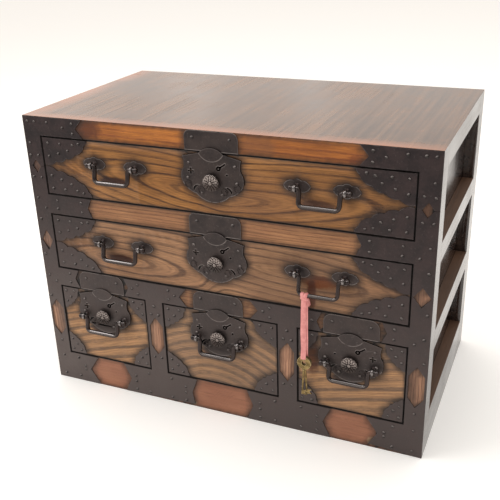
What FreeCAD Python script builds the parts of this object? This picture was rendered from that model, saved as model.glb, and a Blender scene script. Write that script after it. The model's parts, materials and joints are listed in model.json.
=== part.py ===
"""Small chest of five drawers with iron mounts, as a parametric FreeCAD document.

The origin is on the floor, under the middle of the chest taken with its bails. X runs to the right, Y
from the front to the back, Z up. Every size is one cell of the sheet "sizes", in millimetres. A board is
a Part::Box whose size and place are expressions of those cells, and plates, bails, bolts and keys are
PartDesign bodies.
"""
import FreeCAD, Part
import math
import os
import re

import Sketcher
from FreeCAD import Placement, Rotation, Vector

SIZES = {
    # carcass
    "width": (600, "outside of the carcass, left to right"),
    "depth": (340, "outside of the carcass, front to back"),
    "post_face": (28, "width of a corner post seen from the front"),
    "post_front": (33, "depth of a front post"),
    "post_back": (39, "depth of a back post"),
    "rail_deep": (30, "depth of a front rail"),
    "base_rail": (51, "height of the bottom front rail"),
    "small_opening": (121, "height of the three small openings"),
    "lower_rail": (31, "height of the rail over the small drawers"),
    "middle_opening": (89, "height of the middle opening"),
    "upper_rail": (31, "height of the rail between the wide drawers"),
    "top_opening": (88.5, "height of the top opening"),
    "top_rail": (28.5, "height of the top rail"),
    "left_opening": (150, "width of the left small opening"),
    "centre_opening": (182, "width of the centre small opening"),
    "divider_wide": (29.3, "width of an upright between small drawers"),
    "side_base": (58, "height of the bottom rail of a side"),
    "low_side_rail": (30.5, "height of the lower middle rail of a side"),
    "high_side_rail": (27.5, "height of the upper middle rail of a side"),
    "low_side_drop": (5, "how far the lower side rail stands below its shelf"),
    "panel_recess": (17, "how far a side panel lies behind its frame"),
    "panel_thick": (6, "thickness of a side panel"),
    "groove_deep": (5, "depth of the grooves that hold the panels"),
    "top_thick": (9, "thickness of the top panel"),
    "top_band": (24, "width of the frame that shows round the top panel"),
    "back_band": (12, "the same along the back"),
    "back_thick": (8, "thickness of the back boards"),
    "back_recess": (12, "how far the back boards lie inside the back"),
    "shelf_thick": (12, "thickness of a shelf"),
    "shelf_seat": (6, "how far a shelf is let into its front rail"),
    "bearer_wide": (12, "width of a shelf bearer"),
    "bearer_tall": (18, "height of a shelf bearer"),
    "partition_thick": (14, "thickness of a partition"),
    "guide_tall": (20, "height of a drawer guide above its shelf"),
    "tenon_long": (12, "length of a tenon"),
    "tenon_thick": (10, "thickness of a tenon"),
    "tenon_inset": (8, "from the face of a rail to its tenon"),
    "tenon_shoulder": (6, "from the edge of a rail to its tenon"),
    "back_tenon": (6, "thickness of a back rail's tenon"),
    "back_tenon_inset": (4, "from the back of a rail to its tenon"),
    "joint_gap": (0.1, "clearance round tenons, tongues and let-in parts"),
    # drawers
    "reveal": (1.2, "gap round a drawer front"),
    "slide_gap": (0.3, "clearance under a drawer"),
    "stop_gap": (0.5, "clearance between a closed drawer and the back boards"),
    "front_set": (0.6, "how far a drawer front lies behind the frame"),
    "front_thick": (16, "thickness of a drawer front"),
    "front_lap": (8, "how much of the front laps over sides and bottom"),
    "side_thick": (7, "thickness of a drawer side"),
    "side_drop": (9, "from the top of an opening to a drawer side"),
    "bottom_thick": (6, "thickness of a drawer bottom"),
    # iron plates
    "iron": (1, "thickness of the frame and corner plates"),
    "iron_inset": (0.4, "from the edge of the wood to the edge of a plate"),
    "top_arm": (101, "reach of a corner plate along the top rail"),
    "rail_arm": (102, "reach of a side plate along the upper rail"),
    "low_arm": (63.5, "reach of a side plate along the lower rail"),
    "base_arm": (80, "reach of a corner plate along the bottom rail"),
    "branch_arm": (41, "reach of an upright's plate towards the centre drawer"),
    "short_arm": (35, "reach of an upright's plate towards a side drawer"),
    "foot_arm": (50, "reach of an upright's plate along the bottom rail"),
    "notch": (12, "depth of the notch at the end of an arm"),
    "window_top": (42, "from the bottom of the top opening to the middle of the upper lozenge"),
    "window_middle": (44, "from the bottom of the middle opening to the middle of the middle lozenge"),
    "window_low": (62, "from the bottom of the small openings to the middle of the lower lozenge"),
    "seam": (0.3, "gap between two plates that meet"),
    "small_lozenge_half": (7.5, "half width of the upper lozenge"),
    "middle_lozenge_half": (9.5, "half width of the middle lozenge on the left post"),
    "right_lozenge_half": (11.5, "half width of the middle lozenge on the right post"),
    "long_lozenge_half": (11, "half width of the lower lozenge"),
    "small_lozenge": (10, "half height of the upper lozenge"),
    "middle_lozenge": (17, "half height of the middle lozenge on the left post"),
    "right_lozenge": (14, "half height of the middle lozenge on the right post"),
    "long_lozenge": (32, "half height of the lower lozenge"),
    "lozenge_taper": (15, "height of the pointed end of the lower lozenge"),
    "keeper_wide": (78, "width of a keeper plate"),
    "keeper_round": (9, "radius of a keeper plate's upper corners"),
    "small_keeper_round": (13, "the same over the small drawers"),
    "keeper_nail": (27, "from the middle of a keeper plate to a nail"),
    "keeper_nail_rise": (4, "how far its nails stand above its middle"),
    "scallop": (0.16, "swell of a scallop as a share of its length"),
    "wide_corner_long": (75, "leg of a wide drawer's corner plate along the width"),
    "wide_corner_tall": (41, "leg of a wide drawer's corner plate along the height"),
    "side_corner_long": (28, "leg of a side drawer's corner plate along the width"),
    "centre_corner_long": (35, "leg of the centre drawer's corner plate along the width"),
    "small_corner_tall": (37, "leg of a small drawer's corner plate along the height"),
    "nail_radius": (1.7, "radius of a nail head"),
    "nail_proud": (0.9, "height of a nail head"),
    # locks
    "lock_thick": (1.8, "thickness of a lock plate"),
    "lock_half": (46, "half width of a lock plate"),
    "lock_tall": (62, "height of a lock plate below its upper corners"),
    "lock_drop": (8, "from the top of an opening to the plate's upper corners"),
    "crest_thick": (1.4, "thickness of the raised crest on a lock plate"),
    "crest_half": (18, "half width of the crest"),
    "crest_rise": (6, "how far the crest stands over the rail"),
    "crest_fall": (13, "how far the crest reaches down the plate"),
    "case_half": (22, "half width of the lock's recess"),
    "case_drop": (10, "from the top of an opening to the lock's recess"),
    "case_tall": (48, "height of the lock's recess"),
    "case_deep": (11, "depth of the lock's recess"),
    "bolt_wide": (15, "width of a lock bolt"),
    "bolt_thick": (4, "thickness of a lock bolt"),
    "bolt_long": (31, "length of a lock bolt"),
    "bolt_travel": (6, "travel of a lock bolt"),
    "bolt_left": (14, "from the middle of the lock to the bolt's left edge"),
    "bolt_in": (3.4, "from the drawer's face to the bolt"),
    "bolt_gap": (0.3, "clearance round a bolt"),
    "button_radius": (11.8, "radius of a lock's button"),
    "button_thick": (5, "thickness of the button"),
    "button_drop": (41, "from the top of an opening to the button"),
    "button_travel": (3, "travel of the button"),
    "button_gap": (0.3, "clearance between a pressed button and its plate"),
    "stem_radius": (4, "radius of the button's stem"),
    "run_gap": (0.05, "clearance of a running fit"),
    "keyhole_radius": (3.5, "radius of a keyhole"),
    "keyhole_right": (10, "from the middle of the lock to the keyhole"),
    "keyhole_drop": (21.5, "from the top of an opening to the keyhole"),
    "key_pin": (1.1, "radius of the pin in a keyhole"),
    "ward_long": (12.5, "length of the slot beside a keyhole"),
    "ward_wide": (2.2, "width of that slot"),
    "pinhole": (1.5, "radius of the small hole in a lock plate"),
    "pinhole_side": (22, "from the middle of the lock to the small hole"),
    "pinhole_drop": (29.5, "from the top of an opening to the small hole"),
    "flower_arm": (4.5, "half length of the pierced cross"),
    "flower_side": (31, "from the middle of the lock to the pierced cross"),
    "flower_drop": (28, "from the top of an opening to the pierced cross"),
    # handles
    "handle_offset": (152, "from the middle of a wide drawer to its handles"),
    "wide_pivot": (54.5, "from the bottom of a wide opening to a handle's pivot"),
    "small_pivot": (43, "from the top of a small opening to a handle's pivot"),
    "pivot_out": (9, "from the frame's face to a handle's pivot"),
    "eye_offset": (33, "from the middle of a handle to a post"),
    "eye_radius": (5.2, "radius of a post's eye"),
    "eye_wide": (4, "width of a post's eye"),
    "pin_radius": (1.6, "radius of a post's shank"),
    "shank_bore": (1.7, "radius of the hole for a shank"),
    "clinch": (2, "how far a shank stands out behind the drawer front"),
    "rod_radius": (3.2, "radius of a bail"),
    "thin_rod": (2.7, "radius of the one thinner bail"),
    "leg_offset": (27, "from the middle of a bail to a leg"),
    "bail_drop": (23, "from the pivot to the bar of a bail"),
    "long_drop": (26.5, "the same on the thinner bail"),
    "bail_lean": (11.5, "how far a hanging bail leans out, in degrees"),
    "bail_corner": (6.5, "radius of a bail's lower corners"),
    "bail_elbow": (4, "radius of the bend at a bail's end"),
    "knob_radius": (4.1, "radius of the knob at a bail's end"),
    "rose_long": (37, "length of the plate under a post"),
    "rose_tall": (20, "height of the plate under a post"),
    # ribbon and keys
    "ribbon_wide": (8, "width of the ribbon"),
    "ribbon_thick": (3, "thickness of the doubled ribbon"),
    "ribbon_left": (18, "from the middle of the handle to the ribbon"),
    "ribbon_long": (104, "from the bar to the middle of the keys' bows"),
    "hitch_wide": (8, "width of the hitch round the bar"),
    "hitch_radius": (4.8, "radius of the hitch round the bar"),
    "soft_gap": (0.3, "clearance between soft and hard parts"),
    "bow_radius": (10, "radius of a key's bow"),
    "bow_hole": (6, "radius of the hole in a bow"),
    "key_thick": (1.8, "thickness of a bow and a bit"),
    "key_apart": (3, "from the middle of one key to that of the other"),
    "shank_radius": (1.4, "radius of a key's shank"),
    "key_long": (50, "from the middle of a bow to the key's tip"),
    "bit_wide": (6, "width of a key's bit"),
    "bit_tall": (8, "height of a key's bit"),
    "key_splay": (3, "how far each key hangs out of plumb, in degrees"),
}

REACH = "(pivot_out + bail_drop*sin(bail_lean) + rod_radius)"  # how far the bails stand out
FRONT, BACK = f"({REACH} - depth)/2", f"({REACH} + depth)/2"
POST = "(width/2 - post_face)"  # inner face of the right posts
PANEL = "(width/2 - panel_recess - panel_thick)"  # inner face of the right side panels
REAR = f"({BACK} - back_recess - back_thick)"  # inner face of the back boards
RAIL_BACK = f"({FRONT} + rail_deep)"
Z_SMALL = "base_rail"
Z_LOWER = "(base_rail + small_opening)"
Z_MIDDLE = "(base_rail + small_opening + lower_rail)"
Z_UPPER = "(base_rail + small_opening + lower_rail + middle_opening)"
Z_TOP = "(base_rail + small_opening + lower_rail + middle_opening + upper_rail)"
Z_CAP = "(base_rail + small_opening + lower_rail + middle_opening + upper_rail + top_opening)"
Z_HEAD = f"({Z_CAP} + top_rail)"
DIVIDERS = {
    "left": "(-width/2 + post_face + left_opening)",
    "right": "(-width/2 + post_face + left_opening + divider_wide + centre_opening)",
}
RIGHT_OPENING = f"({DIVIDERS['right']} + divider_wide)"
FACE = f"({FRONT} + front_set)"  # face of the drawer fronts

doc = FreeCAD.newDocument("tansu_chest")
sheet = doc.addObject("Spreadsheet::Sheet", "sizes")
WORD = re.compile(r"\b(" + "|".join(sorted(SIZES, key=len, reverse=True)) + r")\b")
parts = []


def fill_sheet():
    """Writes every size as a number with its alias and its note."""
    for row, (word, (number, note)) in enumerate(SIZES.items(), start=1):
        sheet.set(f"A{row}", str(number))
        sheet.setAlias(f"A{row}", word)
        sheet.set(f"B{row}", note)
    doc.recompute()


def bind(thing, field, formula):
    """Ties a property to a formula in the words of the sheet."""
    thing.setExpression(field, WORD.sub(r"sizes.\1", formula))


def number(formula):
    """The value of a formula in the words of the sheet."""
    return float(sheet.evalExpression(WORD.sub(r"sizes.\1", formula)))


def place(thing, x="0", y="0", z="0"):
    """Ties the position of a part to three formulas."""
    for axis, formula in zip("xyz", (x, y, z)):
        bind(thing, f"Placement.Base.{axis}", formula)


def keep(thing, node):
    """Names a part and lists it for export."""
    thing.Label = node
    parts.append(thing)
    return thing


def box(x, y, z):
    """A board between two formulas along each axis."""
    board = doc.addObject("Part::Box", "board")
    for field, (low, high) in zip(("Length", "Width", "Height"), (x, y, z)):
        bind(board, field, f"({high}) - ({low})")
    place(board, x[0], y[0], z[0])
    return board


def rod(radius, length, start, axis):
    """A cylinder from a start point along an axis."""
    thing = doc.addObject("Part::Cylinder", "rod")
    bind(thing, "Radius", radius)
    bind(thing, "Height", length)
    turn = {"x": Rotation(Vector(0, 1, 0), 90), "y": Rotation(Vector(1, 0, 0), -90), "z": Rotation()}
    thing.Placement = Placement(Vector(), turn[axis])
    place(thing, *start)
    return thing


def gather(things):
    """Several separate solids as one part."""
    group = doc.addObject("Part::Compound", "group")
    group.Links = things
    return group


def fuse(things):
    """Touching or overlapping solids joined into one."""
    joined = doc.addObject("Part::MultiFuse", "fuse")
    joined.Shapes = things
    joined.Refine = True
    return joined


def cut(base, tools):
    """A solid less some tools, which may overlap one another."""
    result = doc.addObject("Part::Cut", "cut")
    result.Base = base
    result.Tool = tools[0] if len(tools) == 1 else fuse(tools)
    return result


def grown(low, high, by="joint_gap"):
    """A span of formulas made longer at both ends."""
    return f"({low}) - {by}", f"({high}) + {by}"


def mirrored(span):
    """The same span on the other side of the middle."""
    return f"-({span[1]})", f"-({span[0]})"


def both_sides(span):
    """A span on the right and its mirror on the left."""
    return span, mirrored(span)


# ---------------------------------------------------------------- sketches


def edges_of(outline):
    """Lines and arcs round an outline. A point is (x, z), or (x, z, mid x, mid z) to reach it by an arc."""
    edges = []
    for start, end in zip([outline[-1], *outline[:-1]], outline):
        a, b = Vector(start[0], start[1], 0), Vector(end[0], end[1], 0)
        if len(end) == 4:
            edges.append(Part.Arc(a, Vector(end[2], end[3], 0), b))
        else:
            edges.append(Part.LineSegment(a, b))
    return edges


def sketch_on(body, role, edges):
    """A sketch of some edges on one of a body's own planes."""
    plane = next(f for f in body.Origin.OriginFeatures if f.Role == role)
    sketch = body.newObject("Sketcher::SketchObject", "outline")
    sketch.AttachmentSupport = (plane, [""])
    sketch.MapMode = "FlatFace"
    for edge in edges:
        sketch.addGeometry(edge, False)
    return sketch


def sheet_metal(outline, thick, back, holes=()):
    """A plate padded forwards from the plane y = back, with its holes."""
    body = doc.addObject("PartDesign::Body", "plate")
    pad = body.newObject("PartDesign::Pad", "pad")
    pad.Profile = sketch_on(body, "XZ_Plane", edges_of(outline))
    bind(pad, "Length", thick)
    for hole in holes:
        pocket = body.newObject("PartDesign::Pocket", "hole")
        edges = hole if isinstance(hole[0], Part.Circle) else edges_of(hole)
        pocket.Profile = sketch_on(body, "XZ_Plane", edges)
        pocket.Type = "ThroughAll"
        pocket.Midplane = True
    place(body, y=back)
    return body


def circle(x, z, radius):
    """A round hole in a plate's sketch."""
    return [Part.Circle(Vector(x, z, 0), Vector(0, 0, 1), radius)]


def slot(x, z, end_x, end_z, wide):
    """The outline of a straight slot with square ends."""
    length = math.hypot(end_x - x, end_z - z)
    side_x, side_z = -(end_z - z) / length * wide / 2, (end_x - x) / length * wide / 2
    return [
        (x + side_x, z + side_z),
        (end_x + side_x, end_z + side_z),
        (end_x - side_x, end_z - side_z),
        (x - side_x, z - side_z),
    ]


def nail(x, z, face):
    """A faceted nail head on a face."""
    head = doc.addObject("Part::Cone", "nail")
    bind(head, "Radius1", "nail_radius")
    bind(head, "Radius2", "nail_radius / 2")
    bind(head, "Height", "nail_proud")
    head.Placement = Placement(Vector(x, 0, z), Rotation(Vector(1, 0, 0), 90))
    bind(head, "Placement.Base.y", face)
    return head


# ---------------------------------------------------------------- carcass

FRONT_RAILS = [("0", Z_SMALL), (Z_LOWER, Z_MIDDLE), (Z_UPPER, Z_TOP), (Z_CAP, Z_HEAD)]
LOW_SHELF = f"({Z_MIDDLE} - shelf_thick)"
HIGH_SHELF = f"({Z_TOP} - shelf_thick)"
FLOOR_SHELF = "(base_rail - shelf_thick)"
SIDE_RAILS = [
    ("0", "side_base"),
    (f"{LOW_SHELF} - low_side_drop - low_side_rail", f"{LOW_SHELF} - low_side_drop"),
    (f"{HIGH_SHELF} - high_side_rail", HIGH_SHELF),
    (Z_CAP, Z_HEAD),
]
TENON_Y = (f"{FRONT} + tenon_inset", f"{FRONT} + tenon_inset + tenon_thick")
BACK_TENON_Y = (f"{BACK} - back_tenon_inset - back_tenon", f"{BACK} - back_tenon_inset")
BACK_RAILS = [("0", "side_base"), (Z_CAP, Z_HEAD)]
SIDE_SPAN = (f"{FRONT} + post_front", f"{BACK} - post_back")


def inside(span):
    """The height of a tenon between a rail's shoulders."""
    return f"({span[0]}) + tenon_shoulder", f"({span[1]}) - tenon_shoulder"


def front_cores(by="0*joint_gap"):
    """The bars that make the front rails' tenons, or their mortises when grown."""
    reach = grown(f"-{POST} - tenon_long", f"{POST} + tenon_long", by)
    return [box(reach, grown(*TENON_Y, by), grown(*inside(span), by)) for span in FRONT_RAILS]


def back_cores(by="0*joint_gap"):
    """The same for the back rails."""
    reach = grown(f"-{POST} - tenon_long", f"{POST} + tenon_long", by)
    return [box(reach, grown(*BACK_TENON_Y, by), grown(*inside(span), by)) for span in BACK_RAILS]


def side_cores(by="0*joint_gap"):
    """The same for the side rails, on the right and then on the left of each height."""
    across = ("width/2 - tenon_inset - tenon_thick", "width/2 - tenon_inset")
    along = grown(f"{SIDE_SPAN[0]} - tenon_long", f"{SIDE_SPAN[1]} + tenon_long", by)
    return [
        box(grown(*x, by), along, grown(*inside(span), by))
        for span in SIDE_RAILS
        for x in both_sides(across)
    ]


def panel_boxes(by="0*joint_gap"):
    """The six side panels with their tongues, or their grooves when grown."""
    across = (PANEL, f"{PANEL} + panel_thick")
    along = grown(f"{SIDE_SPAN[0]} - groove_deep", f"{SIDE_SPAN[1]} + groove_deep", by)
    return [
        box(grown(*x, by), along, grown(f"{below[1]} - groove_deep", f"{above[0]} + groove_deep", by))
        for below, above in zip(SIDE_RAILS, SIDE_RAILS[1:])
        for x in both_sides(across)
    ]


def back_box(by="0*joint_gap"):
    """The whole back, tongues and all, or its groove when grown."""
    across = grown(f"-{POST} - groove_deep", f"{POST} + groove_deep", by)
    deep = grown(REAR, f"{REAR} + back_thick", by)
    return box(across, deep, grown("side_base - groove_deep", f"{Z_CAP} + groove_deep", by))


def top_box(by="0*joint_gap"):
    """The top panel, or the rebate that takes it when grown."""
    across = grown("-width/2 + top_band", "width/2 - top_band", by)
    deep = grown(f"{FRONT} + top_band", f"{BACK} - back_band", by)
    return box(across, deep, (f"{Z_HEAD} - top_thick", f"{Z_HEAD} + 10*({by})"))


def shelf_box(under, by="0*joint_gap"):
    """A shelf, or the rebate behind its front rail when grown."""
    deep = (f"{RAIL_BACK} - shelf_seat - {by}", REAR)
    return box((f"-{POST}", POST), deep, (under, f"{under} + shelf_thick + 10*({by})"))


def divider_cores(by="0*joint_gap"):
    """The bars that make the uprights' tenons, or their mortises when grown."""
    return [
        box(
            grown(f"{x} + tenon_shoulder", f"{x} + divider_wide - tenon_shoulder", by),
            grown(*TENON_Y, by),
            grown(f"{Z_SMALL} - groove_deep", f"{Z_LOWER} + groove_deep", by),
        )
        for x in DIVIDERS.values()
    ]


def bolt_pockets():
    """The mortises over the drawers that take their bolts."""
    pockets = []
    for drawer in DRAWERS:
        low, high = drawer.bolt_x()
        pockets.append(
            box(
                grown(low, high, "bolt_gap"),
                grown(f"{FACE} + bolt_in", f"{FACE} + bolt_in + bolt_thick", "bolt_gap"),
                (drawer.z[1], f"{drawer.z[1]} + bolt_travel + bolt_gap"),
            )
        )
    return pockets


def make_frame():
    """Posts and rails with their tenons, mortises, grooves and rebates."""
    tools = front_cores("joint_gap") + back_cores("joint_gap") + side_cores("joint_gap")
    slots = fuse(tools + panel_boxes("joint_gap") + [back_box("joint_gap"), top_box("joint_gap")])
    posts = []
    for x in both_sides((POST, "width/2")):
        for y in ((FRONT, SIDE_SPAN[0]), (SIDE_SPAN[1], BACK)):
            posts.append(cut(box(x, y, ("0", Z_HEAD)), [slots]))
    keep(gather(posts), "corner_posts")

    rebates = [shelf_box(under, "joint_gap") for under in (FLOOR_SHELF, LOW_SHELF, HIGH_SHELF)]
    tools = rebates + [top_box("joint_gap")] + divider_cores("joint_gap") + bolt_pockets()
    slots = fuse(tools)
    rails = []
    for span, core in zip(FRONT_RAILS, front_cores()):
        body = box((f"-{POST}", POST), (FRONT, RAIL_BACK), span)
        rails.append(cut(fuse([body, core]), [slots]))
    keep(gather(rails), "front_rails")

    uprights = []
    for x, core in zip(DIVIDERS.values(), divider_cores()):
        body = box((x, f"{x} + divider_wide"), (FRONT, RAIL_BACK), (Z_SMALL, Z_LOWER))
        uprights.append(fuse([body, core]))
    keep(gather(uprights), "front_dividers")

    slots = fuse(panel_boxes("joint_gap") + [top_box("joint_gap")])
    rails, cores = [], iter(side_cores())
    for span in SIDE_RAILS:
        for x in both_sides((POST, "width/2")):
            rails.append(cut(fuse([box(x, SIDE_SPAN, span), next(cores)]), [slots]))
    keep(gather(rails), "side_rails")

    slots = fuse([back_box("joint_gap"), top_box("joint_gap")])
    rails = []
    for span, core in zip(BACK_RAILS, back_cores()):
        body = box((f"-{POST}", POST), (REAR, BACK), span)
        rails.append(cut(fuse([body, core]), [slots]))
    keep(gather(rails), "back_rails")


def make_panels():
    """Side panels, back boards and the top."""
    keep(gather(panel_boxes()), "side_panels")
    board = f"(2*({POST} + groove_deep)/3)"
    boards = []
    for step in range(3):
        start = f"-{POST} - groove_deep + {step}*{board}"
        across = (start, f"{start} + {board}")
        tall = ("side_base - groove_deep", f"{Z_CAP} + groove_deep")
        boards.append(box(across, (REAR, f"{REAR} + back_thick"), tall))
    keep(gather(boards), "back_panel")
    keep(top_box(), "top_panel")


def make_inside():
    """Shelves, what they rest on, and what guides the drawers."""
    keep(gather([shelf_box(LOW_SHELF), shelf_box(HIGH_SHELF)]), "shelves")
    keep(shelf_box(FLOOR_SHELF), "bottom_board")
    bearers = []
    for under in (FLOOR_SHELF, LOW_SHELF, HIGH_SHELF):
        for x in both_sides((f"{POST} - bearer_wide", POST)):
            bearers.append(box(x, SIDE_SPAN, (f"{under} - bearer_tall", under)))
    keep(gather(bearers), "shelf_bearers")

    walls, guides = [], []
    for x in DIVIDERS.values():
        low = f"({x} + divider_wide/2 - partition_thick/2)"
        high = f"({x} + divider_wide/2 + partition_thick/2)"
        walls.append(box((low, high), (RAIL_BACK, REAR), (Z_SMALL, LOW_SHELF)))
        for span in ((x, low), (high, f"{x} + divider_wide")):
            guides.append(box(span, (RAIL_BACK, REAR), (Z_SMALL, f"{Z_SMALL} + guide_tall")))
    keep(gather(walls), "partitions")
    for rail, floor in zip(SIDE_RAILS, (Z_SMALL, Z_MIDDLE, Z_TOP)):
        for x in both_sides((POST, PANEL)):
            guides.append(box(x, SIDE_SPAN, (rail[1], f"{floor} + guide_tall")))
    keep(gather(guides), "drawer_guides")


# ---------------------------------------------------------------- iron on the frame

EDGE = "-width/2 + iron_inset"  # outer edge of the plates on the left post
INNER = "-width/2 + post_face - iron_inset"  # their inner edge
MID_POST = "-width/2 + post_face/2"
WINDOWS = (f"({Z_TOP} + window_top)", f"({Z_MIDDLE} + window_middle)", f"({Z_SMALL} + window_low)")


def outline(*corners):
    """Numbers for corners given as formulas, with arcs as four formulas."""
    return [tuple(number(formula) for formula in corner) for corner in corners]


def flipped(points):
    """An outline mirrored to the other side of the middle."""
    return [tuple(-v if n % 2 == 0 else v for n, v in enumerate(point)) for point in points]


def lozenge(middle, level, half, tall, taper=None):
    """Corners of a plate's end round half a lozenge, from right to left. A negative height points down."""
    tip = f"{level} + {tall}"
    corners = [(f"{middle} + {half}", level), (middle, tip), (f"{middle} - {half}", level)]
    if taper:
        shoulder = f"{tip} - {taper}"
        corners.insert(1, (f"{middle} + {half}", shoulder))
        corners.insert(3, (f"{middle} - {half}", shoulder))
    return corners


def arm_end(end, low, high, depth):
    """Corners of an arm's notched end, from the top down."""
    return [
        (end, f"{high} - iron_inset"),
        (f"{end} - ({depth})", f"({low} + {high})/2"),
        (end, f"{low} + iron_inset"),
    ]


def left_plates(half="middle_lozenge_half", tall="middle_lozenge"):
    """The four plates that cover the left post, from the top down, with the middle lozenge's halves."""
    small = (MID_POST, "small_lozenge_half", "small_lozenge")
    middle = (MID_POST, half, tall)
    long = (MID_POST, "long_lozenge_half", "long_lozenge")
    above = [f"{level} + seam/2" for level in WINDOWS]
    below = [f"{level} - seam/2" for level in WINDOWS]
    floor = "iron_inset"
    corner = [(EDGE, f"{Z_HEAD} - iron_inset")]
    corner += arm_end("-width/2 + top_arm", Z_CAP, Z_HEAD, "notch")
    corner += [(INNER, f"{Z_CAP} + iron_inset"), (INNER, above[0])]
    corner += lozenge(small[0], above[0], small[1], small[2]) + [(EDGE, above[0])]

    upper = [(EDGE, below[0])]
    upper += reversed(lozenge(small[0], below[0], small[1], f"(-{small[2]})"))
    upper += [(INNER, below[0]), (INNER, f"{Z_TOP} - iron_inset")]
    upper += arm_end("-width/2 + rail_arm", Z_UPPER, Z_TOP, "notch*0.6")
    upper += [(INNER, f"{Z_UPPER} + iron_inset"), (INNER, above[1])]
    upper += lozenge(middle[0], above[1], middle[1], middle[2]) + [(EDGE, above[1])]

    lower = [(EDGE, below[1])]
    lower += reversed(lozenge(middle[0], below[1], middle[1], f"(-{middle[2]})"))
    lower += [(INNER, below[1]), (INNER, f"{Z_MIDDLE} - iron_inset")]
    lower += arm_end("-width/2 + low_arm", Z_LOWER, Z_MIDDLE, "notch*0.6")
    lower += [(INNER, f"{Z_LOWER} + iron_inset"), (INNER, above[2])]
    lower += lozenge(long[0], above[2], long[1], long[2], "lozenge_taper") + [(EDGE, above[2])]

    foot = [(EDGE, below[2])]
    foot += reversed(lozenge(long[0], below[2], long[1], f"(-{long[2]})", "(-lozenge_taper)"))
    foot += [(INNER, below[2]), (INNER, f"{Z_SMALL} - iron_inset")]
    foot += arm_end("-width/2 + base_arm", "0", Z_SMALL, "notch*1.4")
    foot += [(EDGE, floor)]
    return [outline(*corners) for corners in (corner, upper, lower, foot)]


def upright_plates(start, sign):
    """The upper and lower plates on one upright, drawn for an upright whose right side faces the middle."""
    middle = f"{start} + divider_wide/2"
    low, high = f"{start} + iron_inset", f"{start} + divider_wide - iron_inset"
    long = ("long_lozenge_half + 1", "long_lozenge")
    seam = (f"{WINDOWS[2]} + seam/2", f"{WINDOWS[2]} - seam/2")
    short_end = arm_end(f"{start} - short_arm", Z_LOWER, Z_MIDDLE, "notch*(-0.6)")
    head = short_end[:1]
    head += arm_end(f"{start} + divider_wide + branch_arm", Z_LOWER, Z_MIDDLE, "notch")
    head += [(high, f"{Z_LOWER} + iron_inset"), (high, seam[0])]
    head += lozenge(middle, seam[0], *long, "lozenge_taper")
    head += [(low, seam[0]), (low, f"{Z_LOWER} + iron_inset")]
    head += reversed(short_end[1:])
    foot = [(low, seam[1])]
    foot += reversed(lozenge(middle, seam[1], long[0], f"(-{long[1]})", "(-lozenge_taper)"))
    foot += [(high, seam[1]), (high, f"{Z_SMALL} - iron_inset")]
    foot += arm_end(f"{start} + divider_wide + foot_arm", "0", Z_SMALL, "notch*0.8")
    left_end = arm_end(f"{start} - foot_arm", "0", Z_SMALL, "(-notch)")
    foot += list(reversed(left_end)) + [(low, f"{Z_SMALL} - iron_inset")]
    shapes = [outline(*corners) for corners in (head, foot)]
    if sign > 0:
        return shapes
    centre = number(middle)
    return [[(2 * centre - x, z) for x, z in shape] for shape in shapes]


def keeper(drawer):
    """A plate with rounded upper corners on the rail over a drawer's lock."""
    low, high = drawer.rail_above
    small = drawer.rail_above[0] == Z_LOWER
    turn = number("small_keeper_round" if small else "keeper_round")
    middle, half = number(drawer.middle), number("keeper_wide/2")
    floor, head = number(f"{low} + iron_inset"), number(f"{high} - iron_inset")
    bend = turn * (1 - math.sqrt(0.5))
    return [
        (middle - half, floor),
        (middle + half, floor),
        (middle + half, head - turn),
        (middle + half - turn, head, middle + half - bend, head - bend),
        (middle - half + turn, head),
        (middle - half, head - turn, middle - half + bend, head - bend),
    ]


def make_ironwork():
    """Frame plates, keeper plates and the nails that hold them."""
    right = left_plates("right_lozenge_half", "right_lozenge")
    shapes = left_plates() + [flipped(shape) for shape in right]
    shapes += upright_plates(DIVIDERS["left"], 1) + upright_plates(DIVIDERS["right"], -1)
    keep(gather([sheet_metal(shape, "iron", FRONT) for shape in shapes]), "frame_plates")
    keepers = [sheet_metal(keeper(drawer), "iron", FRONT) for drawer in DRAWERS]
    keep(gather(keepers), "keeper_plates")

    spots = []
    for sign in (-1, 1):
        spots += [(sign * number(f"width/2 - {x}"), number(z)) for x, z in POST_NAILS]
    for start in DIVIDERS.values():
        middle = number(f"{start} + divider_wide/2")
        spots += [(middle + number(x), number(z)) for x, z in UPRIGHT_NAILS]
    for drawer in DRAWERS:
        level = number(f"({drawer.rail_above[0]} + {drawer.rail_above[1]})/2 + keeper_nail_rise")
        for sign in (-1, 1):
            spots.append((number(drawer.middle) + sign * number("keeper_nail"), level))
    face = f"{FRONT} - iron"
    keep(gather([nail(x, z, face) for x, z in spots]), "frame_nails")


# Places of the nails on a post's plates, from the outer edge and the floor.
POST_NAILS = [
    (x, z)
    for x, levels in {
        "8": [f"{Z_HEAD} - 8", f"{Z_CAP} - 12", f"{Z_TOP} - 8", f"{WINDOWS[1]} + 34", f"{Z_MIDDLE} - 16"],
        "20": [
            f"{Z_HEAD} - 8",
            f"{WINDOWS[0]} + 17",
            f"{WINDOWS[0]} - 17",
            f"{Z_UPPER} + 8",
            f"{Z_LOWER} + 6",
        ],
        "6": [f"{WINDOWS[0]} + 16", f"{WINDOWS[0]} - 17", f"{WINDOWS[1]} - 24", f"{WINDOWS[2]} + 38"],
        "14": [f"{WINDOWS[2]} - 42", f"{Z_SMALL} - 8", "9"],
        "42": [f"{Z_HEAD} - 8", f"{Z_SMALL} - 8", "9", f"{Z_TOP} - 9", f"{Z_UPPER} + 9"],
        "47": [f"{Z_MIDDLE} - 8", f"{Z_LOWER} + 8"],
        "68": [f"{Z_HEAD} - 14"],
        "84": [f"{Z_CAP} + 7", f"{Z_HEAD} - 7", f"{Z_TOP} - 8", f"{Z_UPPER} + 8"],
        "54": [f"{Z_SMALL} - 21", f"{Z_SMALL} - 28"],
    }.items()
    for z in levels
]
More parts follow.
